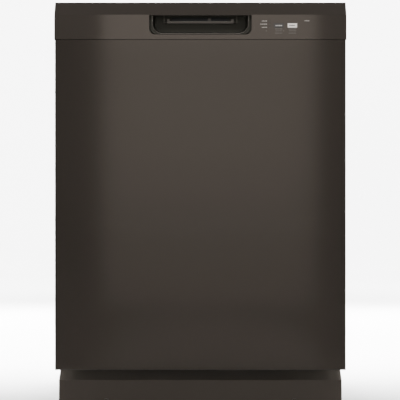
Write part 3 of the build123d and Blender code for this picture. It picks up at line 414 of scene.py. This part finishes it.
pocketSkin = moulded("pocket_skin", (0.0105, 0.0102, 0.0083), (0.0115, 0.0112, 0.0091), (0.45, 0.52),
                     grain=1800.0, lift=0.04, Specular_IOR_Level=0.32, Specular_Tint=(1.0, 0.95, 0.80, 1))
pocketRibHighlight = dict(inner=(0.0736, 0.0739), outer=(0.0774, 0.0771), rise=(0.8164, 0.8168),
                  tone=(0.042, 0.039, 0.033))


# painted highlight: the two upright ribs beside the lever are painted paler for the light their edges catch:
# three masks multiplied
def paintRibHighlight(finish, s):
    tree = finish.node_tree
    base = tree.nodes["Principled BSDF"].inputs["Base Color"]
    place = addNode(tree, "TexCoord").outputs["Object"]
    mask = fromMiddle(tree, place, *s["inner"])
    for other in (fromMiddle(tree, place, *s["outer"]), alongAxis(tree, place, "Z", *s["rise"])):
        both = addNode(tree, "Math", operation="MULTIPLY")
        tree.links.new(mask, both.inputs[0])
        tree.links.new(other, both.inputs[1])
        mask = both.outputs[0]
    tree.links.new(mixed(tree, mask, base.links[0].from_socket, (*s["tone"], 1)), base)


paintRibHighlight(pocketSkin, pocketRibHighlight)
leverSkin = moulded("lever_skin", (0.036, 0.0322, 0.0285), (0.040, 0.0358, 0.0318), (0.28, 0.34),
                    grain=1800.0, lift=0.04, Specular_Tint=(1.0, 0.90, 0.80, 1))
keyWhite = moulded("key_white", (0.86, 0.79, 0.73), (0.90, 0.825, 0.77), (0.3, 0.38), grain=2400.0, lift=0.03)
keyDark = moulded("key_dark", (0.024, 0.0205, 0.018), (0.026, 0.0222, 0.0194), (0.2, 0.26),
                  grain=2200.0, lift=0.03)
ink = dict(rough=(0.5, 0.6), grain=3000.0, lift=0.02)
inkLight = moulded("ink_light", (0.36, 0.335, 0.31), (0.42, 0.39, 0.36), **ink)
inkFaint = moulded("ink_faint", (0.10, 0.091, 0.083), (0.125, 0.114, 0.104), **ink)
inkDark = moulded("ink_dark", (0.02, 0.018, 0.016), (0.026, 0.023, 0.02), **ink)
lensSkin = moulded("lens_skin", (0.045, 0.04, 0.036), (0.06, 0.053, 0.048), (0.12, 0.2),
                   grain=2000.0, lift=0.02, Transmission_Weight=0.25)
# painted shade: behind the finger pocket the liner's hidden side is painted near black, so that the pocket's
# slot reads dark
linerPaintedShade = dict(depth=("Y", -0.2512, -0.2518), height=("Z", 0.813, 0.815), tone=(0.006, 0.006, 0.0055))
linerSkin = speckled("liner_skin", (0.235, 0.24, 0.245), (0.11, 0.112, 0.115), (0.40, 0.40, 0.40),
                     (0.32, 0.42), linerPaintedShade)
tubSkin = speckled("tub_skin", (0.25, 0.255, 0.26), (0.12, 0.122, 0.125), (0.42, 0.42, 0.42), (0.3, 0.4))
greyPlastic = moulded("grey_plastic", (0.125, 0.128, 0.132), (0.155, 0.158, 0.162), (0.38, 0.5), grain=1500.0)
paleGrey = moulded("pale_grey", (0.31, 0.315, 0.32), (0.36, 0.365, 0.37), (0.36, 0.48), grain=1500.0)
blackPlastic = moulded("black_plastic", (0.014, 0.014, 0.014), (0.022, 0.022, 0.022), (0.42, 0.55),
                       grain=1300.0, lift=0.1)
rubberSkin = moulded("rubber_skin", (0.018, 0.018, 0.018), (0.028, 0.028, 0.027), (0.62, 0.75),
                     grain=800.0, lift=0.12)
bitumenSkin = moulded("bitumen_skin", (0.010, 0.0098, 0.0095), (0.024, 0.0235, 0.023), (0.7, 0.85),
                      drift=30.0, grain=260.0, lift=0.4, depth=0.001)
wireCoat = moulded("wire_coat", (0.21, 0.215, 0.22), (0.25, 0.255, 0.26), (0.34, 0.44),
                   drift=20.0, grain=900.0, lift=0.06)
zincSteel = zincSheet("zinc_steel", (0.26, 0.265, 0.27), (0.42, 0.425, 0.43), 0.34)
stainless = drawnSteel("stainless", (0.50, 0.50, 0.50), (0.60, 0.60, 0.595), (0.24, 0.36), (40, 40, 900))
darkSteel = drawnSteel("dark_steel", (0.030, 0.029, 0.028), (0.045, 0.043, 0.041), (0.4, 0.5), (40, 40, 900))
springSteel = drawnSteel("spring_steel", (0.32, 0.32, 0.33), (0.42, 0.42, 0.43), (0.28, 0.4), (300, 60, 300))
filterPlate = piercedPlate("filter_plate", (0.45, 0.45, 0.45), (0.58, 0.58, 0.575), 0.0032)
heaterSteel = hotSteel("heater_steel")
boardGreen = boardFinish("board_green")
feltSkin = feltFinish("felt_skin", (0.034, 0.034, 0.0355), (0.058, 0.058, 0.060))
print("finishes made:", len(bpy.data.materials))

dressed = {
    doorPaint: ("door_panel",),
    consoleSkin: ("console",),
    kickPaint: ("toe_kick", "kick_screws"),
    pocketSkin: ("handle_pocket",),
    leverSkin: ("latch_lever",),
    keyWhite: ("start_key",),
    keyDark: ("cycle_key",),
    lensSkin: ("indicator_lenses",),
    linerSkin: ("door_liner",),
    tubSkin: ("tub",),
    greyPlastic: ("vent_grille", "dispenser_body", "lower_wheels_front", "lower_wheels_rear",
                  "rail_rollers_front", "rail_rollers_rear", "filter_cylinder", "mid_arm_feed",
                  "overflow_float"),
    paleGrey: ("dispenser_lid", "lower_spray_arm", "mid_spray_arm", "feed_tube", "top_nozzle",
               "spray_arm_cap", "rinse_cap"),
    blackPlastic: ("latch_housing", "sump", "circulation_pump", "drain_pump", "inlet_valve",
                   "leg_front_left", "leg_front_right", "leg_rear_left", "leg_rear_right"),
    bitumenSkin: ("door_damper",),
    zincSteel: ("side_rails", "cross_rails", "hinge_arms", "junction_box", "junction_cover",
                "counter_brackets"),
    stainless: ("door_strike", "hinge_pins", "roller_studs", "upper_rack_rails"),
    darkSteel: ("latch_bolt",),
    filterPlate: ("sump_cover",),
    heaterSteel: ("heater_loop",),
    boardGreen: ("control_board",),
}
for finish, names in dressed.items():
    for name in names:
        nodes[name].data.materials.clear()
        nodes[name].data.materials.append(finish)
print("CAD nodes dressed:", sum(map(len, dressed.values())))


# racks: coated round wire, bent into hoops that cross at the floor and stop at the rim

rackWire = dict(radius=1.5, rim=2.0, sides=8, bend=13.0, endX=14.0, endY=10.0, inside=2.4, below=0.5,
                above=1.0, underRim=1.0)
wireRing = ovalRing(rackWire["radius"], sides=rackWire["sides"])
rimRing = ovalRing(rackWire["rim"], sides=10)


# a closed rounded rim at one height: a round-cornered rectangle carried by a wire
def rimLoop(halfX, yFront, yBack, z, corner, ring):
    flat = roundRect(halfX, (yBack - yFront) / 2, corner, 7)
    path = np.column_stack((flat[:, 0], flat[:, 1] + (yFront + yBack) / 2, np.full(len(flat), z)))
    return carry(path, ring, zAxis, closed=True)


# hoops across and along: one U path shifted to each station, the long ones lying on the cross ones
def hoops(s, acrossY, alongX):
    bend, half, top = rackWire["bend"], s["halfX"], s["top"] - rackWire["underRim"]
    under, over = s["floor"] - rackWire["below"], s["floor"] + rackWire["above"]
    across = bentPath(((-half, 0, top), (-half, 0, under), (half, 0, under), (half, 0, top)), bend)
    along = bentPath(((0, s["topFront"], top), (0, s["front"], over), (0, s["back"], over),
                      (0, s["back"], top)), bend)
    return [carry(across[None] + acrossY[:, None, None] * yAxis, wireRing, yAxis),
            carry(along[None] + alongX[:, None, None] * xAxis, wireRing, xAxis)]


lowerRack = dict(halfX=247.5, front=-178.5, topFront=-222.0, back=255.5, floor=225.0, top=340.5,
                 across=13, along=15, corners=(26, 20))
upperRack = dict(halfX=259.5, front=-223.5, topFront=-223.5, back=247.5, floor=522.0, top=627.5,
                 across=13, along=15, corners=(22, 18))


# a rack: hoops both ways, a thick rim on top and a thin one half way up, just inside
def makeRack(s):
    inside, middle = rackWire["inside"], (s["front"] + s["topFront"]) / 2
    acrossY = np.linspace(s["front"] + rackWire["endY"], s["back"] - rackWire["endY"], s["across"])
    alongX = np.linspace(-s["halfX"] + rackWire["endX"], s["halfX"] - rackWire["endX"], s["along"])
    shapes = hoops(s, acrossY, alongX)
    shapes.append(rimLoop(s["halfX"], s["topFront"], s["back"], s["top"], s["corners"][0], rimRing))
    shapes.append(rimLoop(s["halfX"] - inside, middle + inside, s["back"] - inside,
                          (s["floor"] + s["top"]) / 2, s["corners"][1], wireRing))
    return shapes


wheelAxles = dict(x=242.0, y=(-60.0, 150.0), plate=(3.0, 9.0, 2.4), rise=(183.5, 184.6, 222.0, 226.0),
                  inset=(0.75, 1, 1, 0.9), stub=(240.0, 225.2), stubZ=191.3, stubRadius=3.9)


# axle brackets: a rounded plate down from the floor wires and a stub through each wheel
def makeAxles(s):
    outline, inset = roundRect(*s["plate"]), np.array(s["inset"])[:, None]
    stubRing = ovalRing(s["stubRadius"], sides=14)
    shapes = []
    for side in (-1, 1):
        for y in s["y"]:
            rings = np.empty((1, len(inset), len(outline), 3))
            rings[0, :, :, 0] = side * s["x"] + outline[:, 0] * inset
            rings[0, :, :, 1] = y + outline[:, 1] * inset
            rings[0, :, :, 2] = np.array(s["rise"])[:, None]
            shapes.append(skin(rings))
            ends = [[(side * x, y, s["stubZ"])] for x in s["stub"]]
            shapes.append(bars(*ends, stubRing, zAxis, 1.0))
    return shapes


lowerShapes = gather(makeRack(lowerRack) + makeAxles(wheelAxles))
putPiece("lower_rack_wires", lowerShapes, "lower_rack", wireCoat, stands=("lower_rack",))

tineWire = dict(radius=1.7, sides=8, dome=1.6)
tineRing = ovalRing(tineWire["radius"], sides=tineWire["sides"])
lowerTines = dict(y=(-68, -4, 60, 124, 188, 240), count=13, pitch=36.0, foot=228.0, tall=78.5,
                  baseHalf=236.0, baseZ=229.2)
upperTines = dict(x=(-178, -60, 60, 178), count=12, pitch=36.0, middle=12.0, foot=525.0, tall=50.5,
                  baseFront=-214.0, baseLong=450.0, baseZ=526.2)


# even stations about zero: (i - (n - 1) / 2) * pitch
def stations(s):
    return (np.arange(s["count"]) - (s["count"] - 1) / 2) * s["pitch"]


# tines: upright bars with domed tips on a base wire, one comb for each row
def makeLowerTines(s):
    x, y = np.meshgrid(stations(s), s["y"])
    foot = np.stack((x.ravel(), y.ravel(), np.full(x.size, s["foot"])), -1)
    shapes = [bars(foot, foot + s["tall"] * zAxis, tineRing, xAxis, tineWire["dome"])]
    rows = np.asarray(s["y"], float)
    ends = np.stack((np.full(len(rows), s["baseHalf"]), rows, np.full(len(rows), s["baseZ"])), -1)
    shapes.append(bars(ends * (-1, 1, 1), ends, tineRing, zAxis, tineWire["dome"]))
    return gather(shapes)


# the same combs the other way about, in rows along the upper rack
def makeUpperTines(s):
    y, x = np.meshgrid(s["middle"] + stations(s), s["x"])
    foot = np.stack((x.ravel(), y.ravel(), np.full(x.size, s["foot"])), -1)
    shapes = [bars(foot, foot + s["tall"] * zAxis, tineRing, xAxis, tineWire["dome"])]
    rows = np.asarray(s["x"], float)
    front = np.stack((rows, np.full(len(rows), s["baseFront"]), np.full(len(rows), s["baseZ"])), -1)
    shapes.append(bars(front, front + s["baseLong"] * yAxis, tineRing, zAxis, tineWire["dome"]))
    return gather(shapes)


putPiece("lower_rack_tine_rows", makeLowerTines(lowerTines), "lower_rack", wireCoat,
         stands=("lower_rack_tines",))
putPiece("upper_rack_tine_rows", makeUpperTines(upperTines), "upper_rack", wireCoat,
         stands=("upper_rack_tines",))
putPiece("upper_rack_wires", gather(makeRack(upperRack)), "upper_rack", wireCoat,
         stands=("upper_rack",))
print("racks wired")

silverBasket = dict(halfX=199.0, front=-171.0, back=-103.0, low=228.2, high=331.8, pitch=9.6, cells=5,
                    slat=(1.0, 1.6), rail=(1.1, 3.2), rails=4, sole=(0.9, 1.5), dome=0.8)


# basket: upright slats between flat rails, five cells, and a slatted floor
def makeBasket(s):
    slat, rail, sole = ovalRing(*s["slat"], 8), ovalRing(*s["rail"], 10), ovalRing(*s["sole"], 8)
    half, front, back, low, high = (s[k] for k in ("halfX", "front", "back", "low", "high"))
    xs = np.linspace(-half, half, int(2 * half / s["pitch"]) + 1)
    ys = np.linspace(front, back, int((back - front) / s["pitch"]) + 1)
    walls = np.linspace(-half, half, s["cells"] + 1)
    shapes = []
    for y in (front, back):
        foot = np.column_stack((xs, np.full(len(xs), y), np.full(len(xs), low)))
        shapes.append(bars(foot, foot + (high - low) * zAxis, slat, yAxis))
    for x in walls:
        foot = np.column_stack((np.full(len(ys), x), ys, np.full(len(ys), low)))
        shapes.append(bars(foot, foot + (high - low) * zAxis, slat, xAxis))
    for z in np.linspace(low + s["rail"][1], high - s["rail"][1], s["rails"]):
        for y in (front, back):
            shapes.append(bars([(-half, y, z)], [(half, y, z)], rail, yAxis, s["dome"]))
        left = np.column_stack((walls, np.full(len(walls), front), np.full(len(walls), z)))
        shapes.append(bars(left, left + (back - front) * yAxis, rail, xAxis, s["dome"]))
    floor = np.column_stack((xs, np.full(len(xs), front), np.full(len(xs), low + s["sole"][0])))
    shapes.append(bars(floor, floor + (back - front) * yAxis, sole, zAxis))
    return gather(shapes)


putPiece("silverware_basket_slats", makeBasket(silverBasket), "lower_rack",
         greyPlastic, stands=("silverware_basket",))
print("basket made")


# a pad on a surface: inner grid, outer grid pushed out along the normals by its thickness, edges closed
def padOn(inner, normals, thick):
    outer = inner + normals * thick[..., None]
    rows, cols = inner.shape[:2]
    a = np.arange(rows * cols).reshape(rows, cols)
    b = a + rows * cols
    under = np.stack((a[:-1, :-1], a[1:, :-1], a[1:, 1:], a[:-1, 1:]), -1).reshape(-1, 4)
    over = np.stack((b[:-1, :-1], b[:-1, 1:], b[1:, 1:], b[1:, :-1]), -1).reshape(-1, 4)
    rim = np.concatenate((a[0, :], a[1:, -1], a[-1, -2::-1], a[-2:0:-1, 0]))
    up = rim + rows * cols
    edge = np.stack((rim, np.roll(rim, -1), np.roll(up, -1), up), -1)
    points = np.concatenate((inner.reshape(-1, 3), outer.reshape(-1, 3)))
    return points, np.concatenate((under, over, edge)).tolist()


blanket = dict(halfX=281.7, top=827.7, low=196.0, front=-199.0, back=298.0, backIn=292.5, thin=2.0,
               puff=3.6, pitch=118.0, edge=9.0, power=0.4, bend=4.0, seam=1.5,
               wrapGrid=(260, 84), backGrid=(84, 94))


# quilting, 0 to 1: (|sin| |sin|) ^ power between stitch lines, falling to nothing at the edges
def quilted(along, across, s):
    waveA, waveB = (np.abs(np.sin(np.pi * run / s["pitch"])) for run in (along, across))
    edgeA = np.minimum(along - along[0], along[-1] - along)[:, None]
    edgeB = np.minimum(across - across[0], across[-1] - across)[None]
    edge = np.clip(np.minimum(edgeA, edgeB) / s["edge"], 0, 1)
    return (waveA[:, None] * waveB[None]) ** s["power"] * np.sqrt(edge)


# the wrap: up one side, over the top and down the other, one flat strip bent at two corners
def makeBlanketWrap(s):
    half, low, top = s["halfX"], s["low"], s["top"]
    rough = bentPath(((-half, low), (-half, top), (half, top), (half, low)), s["bend"], 9)
    run = np.concatenate(((0,), np.cumsum(np.linalg.norm(np.diff(rough, axis=0), axis=1))))
    along = np.linspace(0, run[-1], s["wrapGrid"][0])
    flat = np.stack((np.interp(along, run, rough[:, 0]), np.interp(along, run, rough[:, 1])), -1)
    slope = np.gradient(flat, axis=0)
    slope /= np.linalg.norm(slope, axis=1, keepdims=True)
    across = np.linspace(s["front"], s["back"], s["wrapGrid"][1])
    inner = np.stack(np.broadcast_arrays(flat[:, :1], across[None], flat[:, 1:]), -1)
    out = np.stack((-slope[:, 1], np.zeros(len(along)), slope[:, 0]), -1)
    normals = np.broadcast_to(out[:, None], inner.shape)
    rise = quilted(along, across, s)
    points, faces = padOn(inner, normals, s["thin"] + s["puff"] * rise)
    return (points, [face[::-1] for face in faces]), rise


# the back piece: one flat sheet, just inside the wrap
def makeBlanketBack(s):
    half = s["halfX"] - s["seam"]
    along = np.linspace(-half, half, s["backGrid"][0])
    across = np.linspace(s["low"], s["top"] - s["seam"], s["backGrid"][1])
    x, z = np.meshgrid(along, across, indexing="ij")
    inner = np.stack((x, np.full_like(x, s["backIn"]), z), -1)
    rise = quilted(along, across, s)
    return padOn(inner, np.broadcast_to(yAxis, inner.shape), s["thin"] + s["puff"] * rise), rise


# the felt's thickness is thin + puff * quilting
(wrapShape, wrapRise), (backShape, backRise) = makeBlanketWrap(blanket), makeBlanketBack(blanket)
tubFelt = putPiece("tub_felt", gather((wrapShape, backShape)), "cabinet", feltSkin,
                   stands=("tub_blanket",))
# the same quilting on each point, for the painted shade along the stitch lines
rises = np.concatenate([np.tile(rise.ravel(), 2) for rise in (wrapRise, backRise)])
tubFelt.data.attributes.new("puff", "FLOAT", "POINT").data.foreach_set("value", rises)
print("felt laid")

gasket = dict(halfX=284.0, low=171.0, top=830.0, y=-247.85, bend=20.0, bulb=(1.72, 3.7), sides=20,
              ridges=3, ridge=0.07)


# seal: a bulb with soft ridges, r(v) = oval * (1 + ridge cos(ridges v)), carried up one side, over and down
def makeGasket(s):
    v = np.arange(s["sides"]) * 2 * np.pi / s["sides"]
    bulb = ovalRing(*s["bulb"], s["sides"]) * (1 + s["ridge"] * np.cos(s["ridges"] * v))[:, None]
    half, y, low, top = s["halfX"], s["y"], s["low"], s["top"]
    path = bentPath(((-half, y, low), (-half, y, top), (half, y, top), (half, y, low)), s["bend"], 11)
    return carry(path, bulb, yAxis)


putPiece("door_seal", makeGasket(gasket), "cabinet", rubberSkin, stands=("door_gasket",))

balance = dict(x=288.9, z=121.5, front=-81.0, back=99.0, coil=4.6, wire=1.2, turns=46, hook=9.0,
               eye=4.4, eyeIn=(5.0, 4.5), plate=(3.0, 7.8, 1.5), plateX=(286.1, 295.2), plateY=102.0,
               cableX=290.4, cable=1.15, tail=(-205.0, 157.0), peg=-147.0, cableBend=16.0)


# spring: a wire along a helix, (x + c cos t, y0 + p t, z + c sin t), with an eye at each end
def makeSprings(s):
    wire, plate = ovalRing(s["wire"], sides=7), roundRect(*s["plate"])
    t = np.linspace(0, 2 * np.pi * s["turns"], s["turns"] * 14)
    y = np.linspace(s["front"] + s["hook"], s["back"] - s["hook"], len(t))
    a = np.linspace(0, 2 * np.pi, 22, endpoint=False)
    eyeY, eyeZ = s["eye"] * np.cos(a), s["z"] + s["eye"] * np.sin(a)
    shapes = []
    for side in (-1, 1):
        path = np.stack((side * s["x"] + s["coil"] * np.cos(t), y, s["z"] + s["coil"] * np.sin(t)), -1)
        shapes.append(carry(path, wire, yAxis))
        for middle in (s["front"] + s["eyeIn"][0], s["back"] - s["eyeIn"][1]):
            eye = np.stack((np.full(len(a), side * s["x"]), middle + eyeY, eyeZ), -1)
            shapes.append(carry(eye, wire, xAxis, closed=True))
        # the plate that hooks the spring to the rail
        rings = np.empty((1, 2, len(plate), 3))
        rings[0, :, :, 0] = side * np.array(s["plateX"])[:, None]
        rings[0, :, :, 1] = s["plateY"] + plate[:, 0] * side
        rings[0, :, :, 2] = s["z"] + plate[:, 1]
        shapes.append(skin(rings))
    return gather(shapes)


putPiece("balance_coils", makeSprings(balance), "cabinet", springSteel,
         stands=("balance_springs",))


# cable: a thin round line from the hinge arm's tail, under the peg, to the spring's eye
def makeCables(s):
    shapes = []
    for side in (-1, 1):
        x = side * s["cableX"]
        points = ((x, *s["tail"]), (x, s["peg"], s["z"]), (x, s["front"], s["z"]))
        shapes.append(carry(bentPath(points, s["cableBend"], 9), ovalRing(s["cable"], sides=10), xAxis))
    return gather(shapes)


cables = putPiece("balance_lines", makeCables(balance), None, springSteel,
                  stands=("balance_cables",))
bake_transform(cables)
print("seal, springs and lines made")


pocketLip = dict(half=99.2, low=793.2, top=829.9, y=-304.15, radius=20.7, wide=0.8, deep=0.6)


# lip round the finger scoop: an oval bead down one side, along the bottom and up, round at the corners; it
# takes the lever's paler skin, a painted highlight along the scoop's rim
def makePocketLip(s):
    t = np.linspace(0, np.pi / 2, 14)
    half, low, top, radius = s["half"], s["low"], s["top"], s["radius"]
    left = np.stack((radius * (1 - np.cos(t)) - half, low + radius * (1 - np.sin(t))), -1)
    flat = np.concatenate((((-half, top),), left, left[::-1] * (-1, 1), ((half, top),)))
    path = np.column_stack((flat[:, 0], np.full(len(flat), s["y"]), flat[:, 1]))
    return carry(path, ovalRing(s["deep"], s["wide"], 12), yAxis)


putPiece("pocket_lip", makePocketLip(pocketLip), "door", leverSkin)

# printed marks on the console, generic bars and dots only;
# each bar is its left end, right end, height above the floor and thickness, cut into dashes at its gaps
prints = dict(face=-305.0, keyFace=-304.8, proud=0.05, sink=0.15, between=0.25, dot=0.9)
gaps = dict(bright=(0.24, 0.5, 0.72), faint=(0.3, 0.62), cycle=(0.26, 0.5, 0.75),
            start=(0.22, 0.42, 0.64, 0.82))
barMarks = ((126.3, 137.6, 818.9, 1.5), (123.0, 137.6, 812.5, 1.5), (126.3, 137.6, 805.9, 1.5),
            (214.5, 224.6, 819.3, 1.5))
faintMarks = ((153.8, 169.1, 802.6, 1.3), (155.0, 168.0, 798.7, 0.9), (153.8, 169.1, 794.0, 0.9),
              (181.5, 197.5, 802.6, 1.3), (183.0, 198.0, 798.7, 0.9), (181.5, 197.5, 794.0, 0.9))
dots = ((135.9, 798.7), (171.5, 798.7))
cycleMark = (154.5, 168.6, 809.6, 2.2)
startMark = (183.2, 195.6, 809.8, 2.4)


# a mark: short dashes of a round-ended bar, laid just proud of the face
def dashed(x0, x1, z, high, yFace, gapsAt):
    edges = np.concatenate(((x0,), x0 + (x1 - x0) * np.asarray(gapsAt), (x1,)))
    shapes = []
    for a, b in zip(edges[:-1], edges[1:]):
        outline = roundRect((b - a) / 2 - prints["between"], high / 2, high * 0.3, 3) + ((a + b) / 2, z)
        shapes.append(tile(outline, yFace - prints["proud"], yFace + prints["sink"]))
    return shapes


brightShapes = [p for m in barMarks for p in dashed(*m, prints["face"], gaps["bright"])]
putPiece("legend_bars", gather(brightShapes), "door", inkLight, smooth=False)
faintShapes = [p for m in faintMarks for p in dashed(*m, prints["face"], gaps["faint"])]
dotFront, dotBack = prints["face"] - prints["proud"], prints["face"] + prints["sink"]
faintShapes += [tile(ovalRing(prints["dot"], sides=16) + d, dotFront, dotBack) for d in dots]
putPiece("legend_faint", gather(faintShapes), "door", inkFaint, smooth=False)
cycleBar = dashed(*cycleMark, prints["keyFace"], gaps["cycle"])
putPiece("cycle_key_mark", gather(cycleBar), "cycle_key", inkLight, smooth=False)
startBar = dashed(*startMark, prints["keyFace"], gaps["start"])
putPiece("start_key_mark", gather(startBar), "start_key", inkDark, smooth=False)
print("marks printed")


# floor, light and camera

sweep = dict(half=18.0, front=-16.0, wall=7.0, radius=1.8, top=7.5)
floorSkin = moulded("pale_floor", (0.80, 0.80, 0.80), (0.84, 0.84, 0.84), (0.7, 0.8), drift=1.0, grain=60.0,
                    lift=0.0)


# one sheet: flat floor, then a quarter-circle sweep up to a wall behind
def floorAndWall(s):
    t = np.linspace(0, np.pi / 2, 24)
    y = np.concatenate(((s["front"],), s["wall"] - s["radius"] * (1 - np.sin(t)), (s["wall"],)))
    z = np.concatenate(((0,), s["radius"] * (1 - np.cos(t)), (s["top"],)))
    x = np.linspace(-s["half"], s["half"], 3)
    grid = np.stack(np.broadcast_arrays(x[None], y[:, None], z[:, None]), -1)
    index = np.arange(grid.shape[0] * 3).reshape(-1, 3)
    quads = np.stack((index[:-1, :-1], index[:-1, 1:], index[1:, 1:], index[1:, :-1]), -1)
    mesh = bpy.data.meshes.new("pale_sweep")
    mesh.from_pydata(grid.reshape(-1, 3).tolist(), [], quads.reshape(-1, 4).tolist())
    mesh.polygons.foreach_set("use_smooth", np.full(len(mesh.polygons), True))
    mesh.materials.append(floorSkin)
    obj = bpy.data.objects.new("pale_sweep", mesh)
    bpy.context.scene.collection.objects.link(obj)


# an area light aimed at a point, unseen by the camera itself; its beam is an angle
def softLight(name, place, aim, size, power, beam=math.pi):
    light = bpy.data.lights.new(name, "AREA")
    light.shape = "RECTANGLE"
    light.size, light.size_y = size
    light.energy = power
    light.spread = beam
    obj = bpy.data.objects.new(name, light)
    bpy.context.scene.collection.objects.link(obj)
    obj.location = place
    obj.rotation_euler = (Vector(aim) - Vector(place)).to_track_quat("-Z", "Y").to_euler()
    obj.visible_camera = False


floorAndWall(sweep)
studio = dict(tint=(1.0, 0.985, 0.97, 1), strength=0.55)
world = bpy.data.worlds.new("studio")
bpy.context.scene.world = world
world.use_nodes = True
backdrop = world.node_tree.nodes["Background"]
backdrop.inputs["Color"].default_value = studio["tint"]
backdrop.inputs["Strength"].default_value = studio["strength"]

# cards behind the camera that show as the pale middle of the door: from the top one downwards each is
# dimmer, dim + (bright - dim) * (3 t^2 - 2 t^3) with t = height / full
frontCard = dict(x=0.038, y=-3.36, wide=0.894, low=0.01, high=1.08, top=1.90, cards=7, dim=0.70,
                 bright=1.50, full=0.85, console=1.74, aimY=-0.3)


# a card's power is its glow * pi * its area; the top card, for the console, has a glow of its own
def frontCards(s):
    edges = np.append(np.linspace(s["low"], s["high"], s["cards"] + 1), s["top"])
    heights = (edges[:-1] + edges[1:]) / 2
    t = np.clip(heights / s["full"], 0, 1)
    glows = s["dim"] + (s["bright"] - s["dim"]) * (3 * t ** 2 - 2 * t ** 3)
    glows[-1] = s["console"]
    for height, tall, glow in zip(heights.tolist(), np.diff(edges).tolist(), glows.tolist()):
        at, aim = (s["x"], s["y"], height), (s["x"], s["aimY"], height)
        softLight("front_card", at, aim, (s["wide"], tall), glow * math.pi * s["wide"] * tall)


frontCards(frontCard)
# one wide dim card round them, for the door's even edges
softLight("front_wide", place=(0.0, -3.4, 0.96), aim=(0.0, -0.3, 0.96), size=(3.0, 1.9), power=3.2)
softLight("top_fill", place=(0.0, -0.28, 3.4), aim=(0.0, -0.28, 0.5), size=(2.0, 0.5), power=26)
# soft boxes to both sides of the camera, out of the door's mirror
softLight("side_left", place=(-2.7, -2.5, 1.5), aim=(0.0, -0.3, 0.5), size=(1.4, 1.6), power=4.5)
softLight("side_right", place=(2.7, -2.5, 1.5), aim=(0.0, -0.3, 0.5), size=(1.4, 1.6), power=4.5)
# a high front light above the door's mirror, for the keys and legends
softLight("front_key", place=(0.0, -2.5, 2.7), aim=(0.0, -0.3, 0.6), size=(1.8, 0.5), power=7.4, beam=1.0)
# a low pool on the floor, which the bottom of the door mirrors
softLight("floor_pool", place=(0.03, -2.0, 0.5), aim=(0.03, -2.0, 0.0), size=(0.64, 1.5), power=1.7, beam=0.3)
# an even light straight down on the floor beside and behind the object
softLight("floor_fill", place=(0.0, 1.5, 2.6), aim=(0.0, 1.5, 0.0), size=(5.2, 2.5), power=560, beam=0.5)
# washes that brighten the sweep behind the object
softLight("wash_left", place=(-2.2, 3.4, 3.0), aim=(-1.0, 6.4, 0.8), size=(1.6, 1.6), power=900)
softLight("wash_right", place=(2.2, 3.4, 3.0), aim=(1.0, 6.4, 0.8), size=(1.6, 1.6), power=900)

# a level camera square to the door, near half the height of the machine
view = dict(lens=131.0, sensor=36.0, at=(-0.0008, -3.305, 0.450))
camera = bpy.data.cameras.new("camera")
camera.lens, camera.sensor_width, camera.sensor_fit = view["lens"], view["sensor"], "HORIZONTAL"
cameraObj = bpy.data.objects.new("camera", camera)
bpy.context.scene.collection.objects.link(cameraObj)
cameraObj.location = view["at"]
cameraObj.rotation_euler = (math.pi / 2, 0, 0)
bpy.context.scene.camera = cameraObj
print("studio set")

bpy.context.view_layer.update()
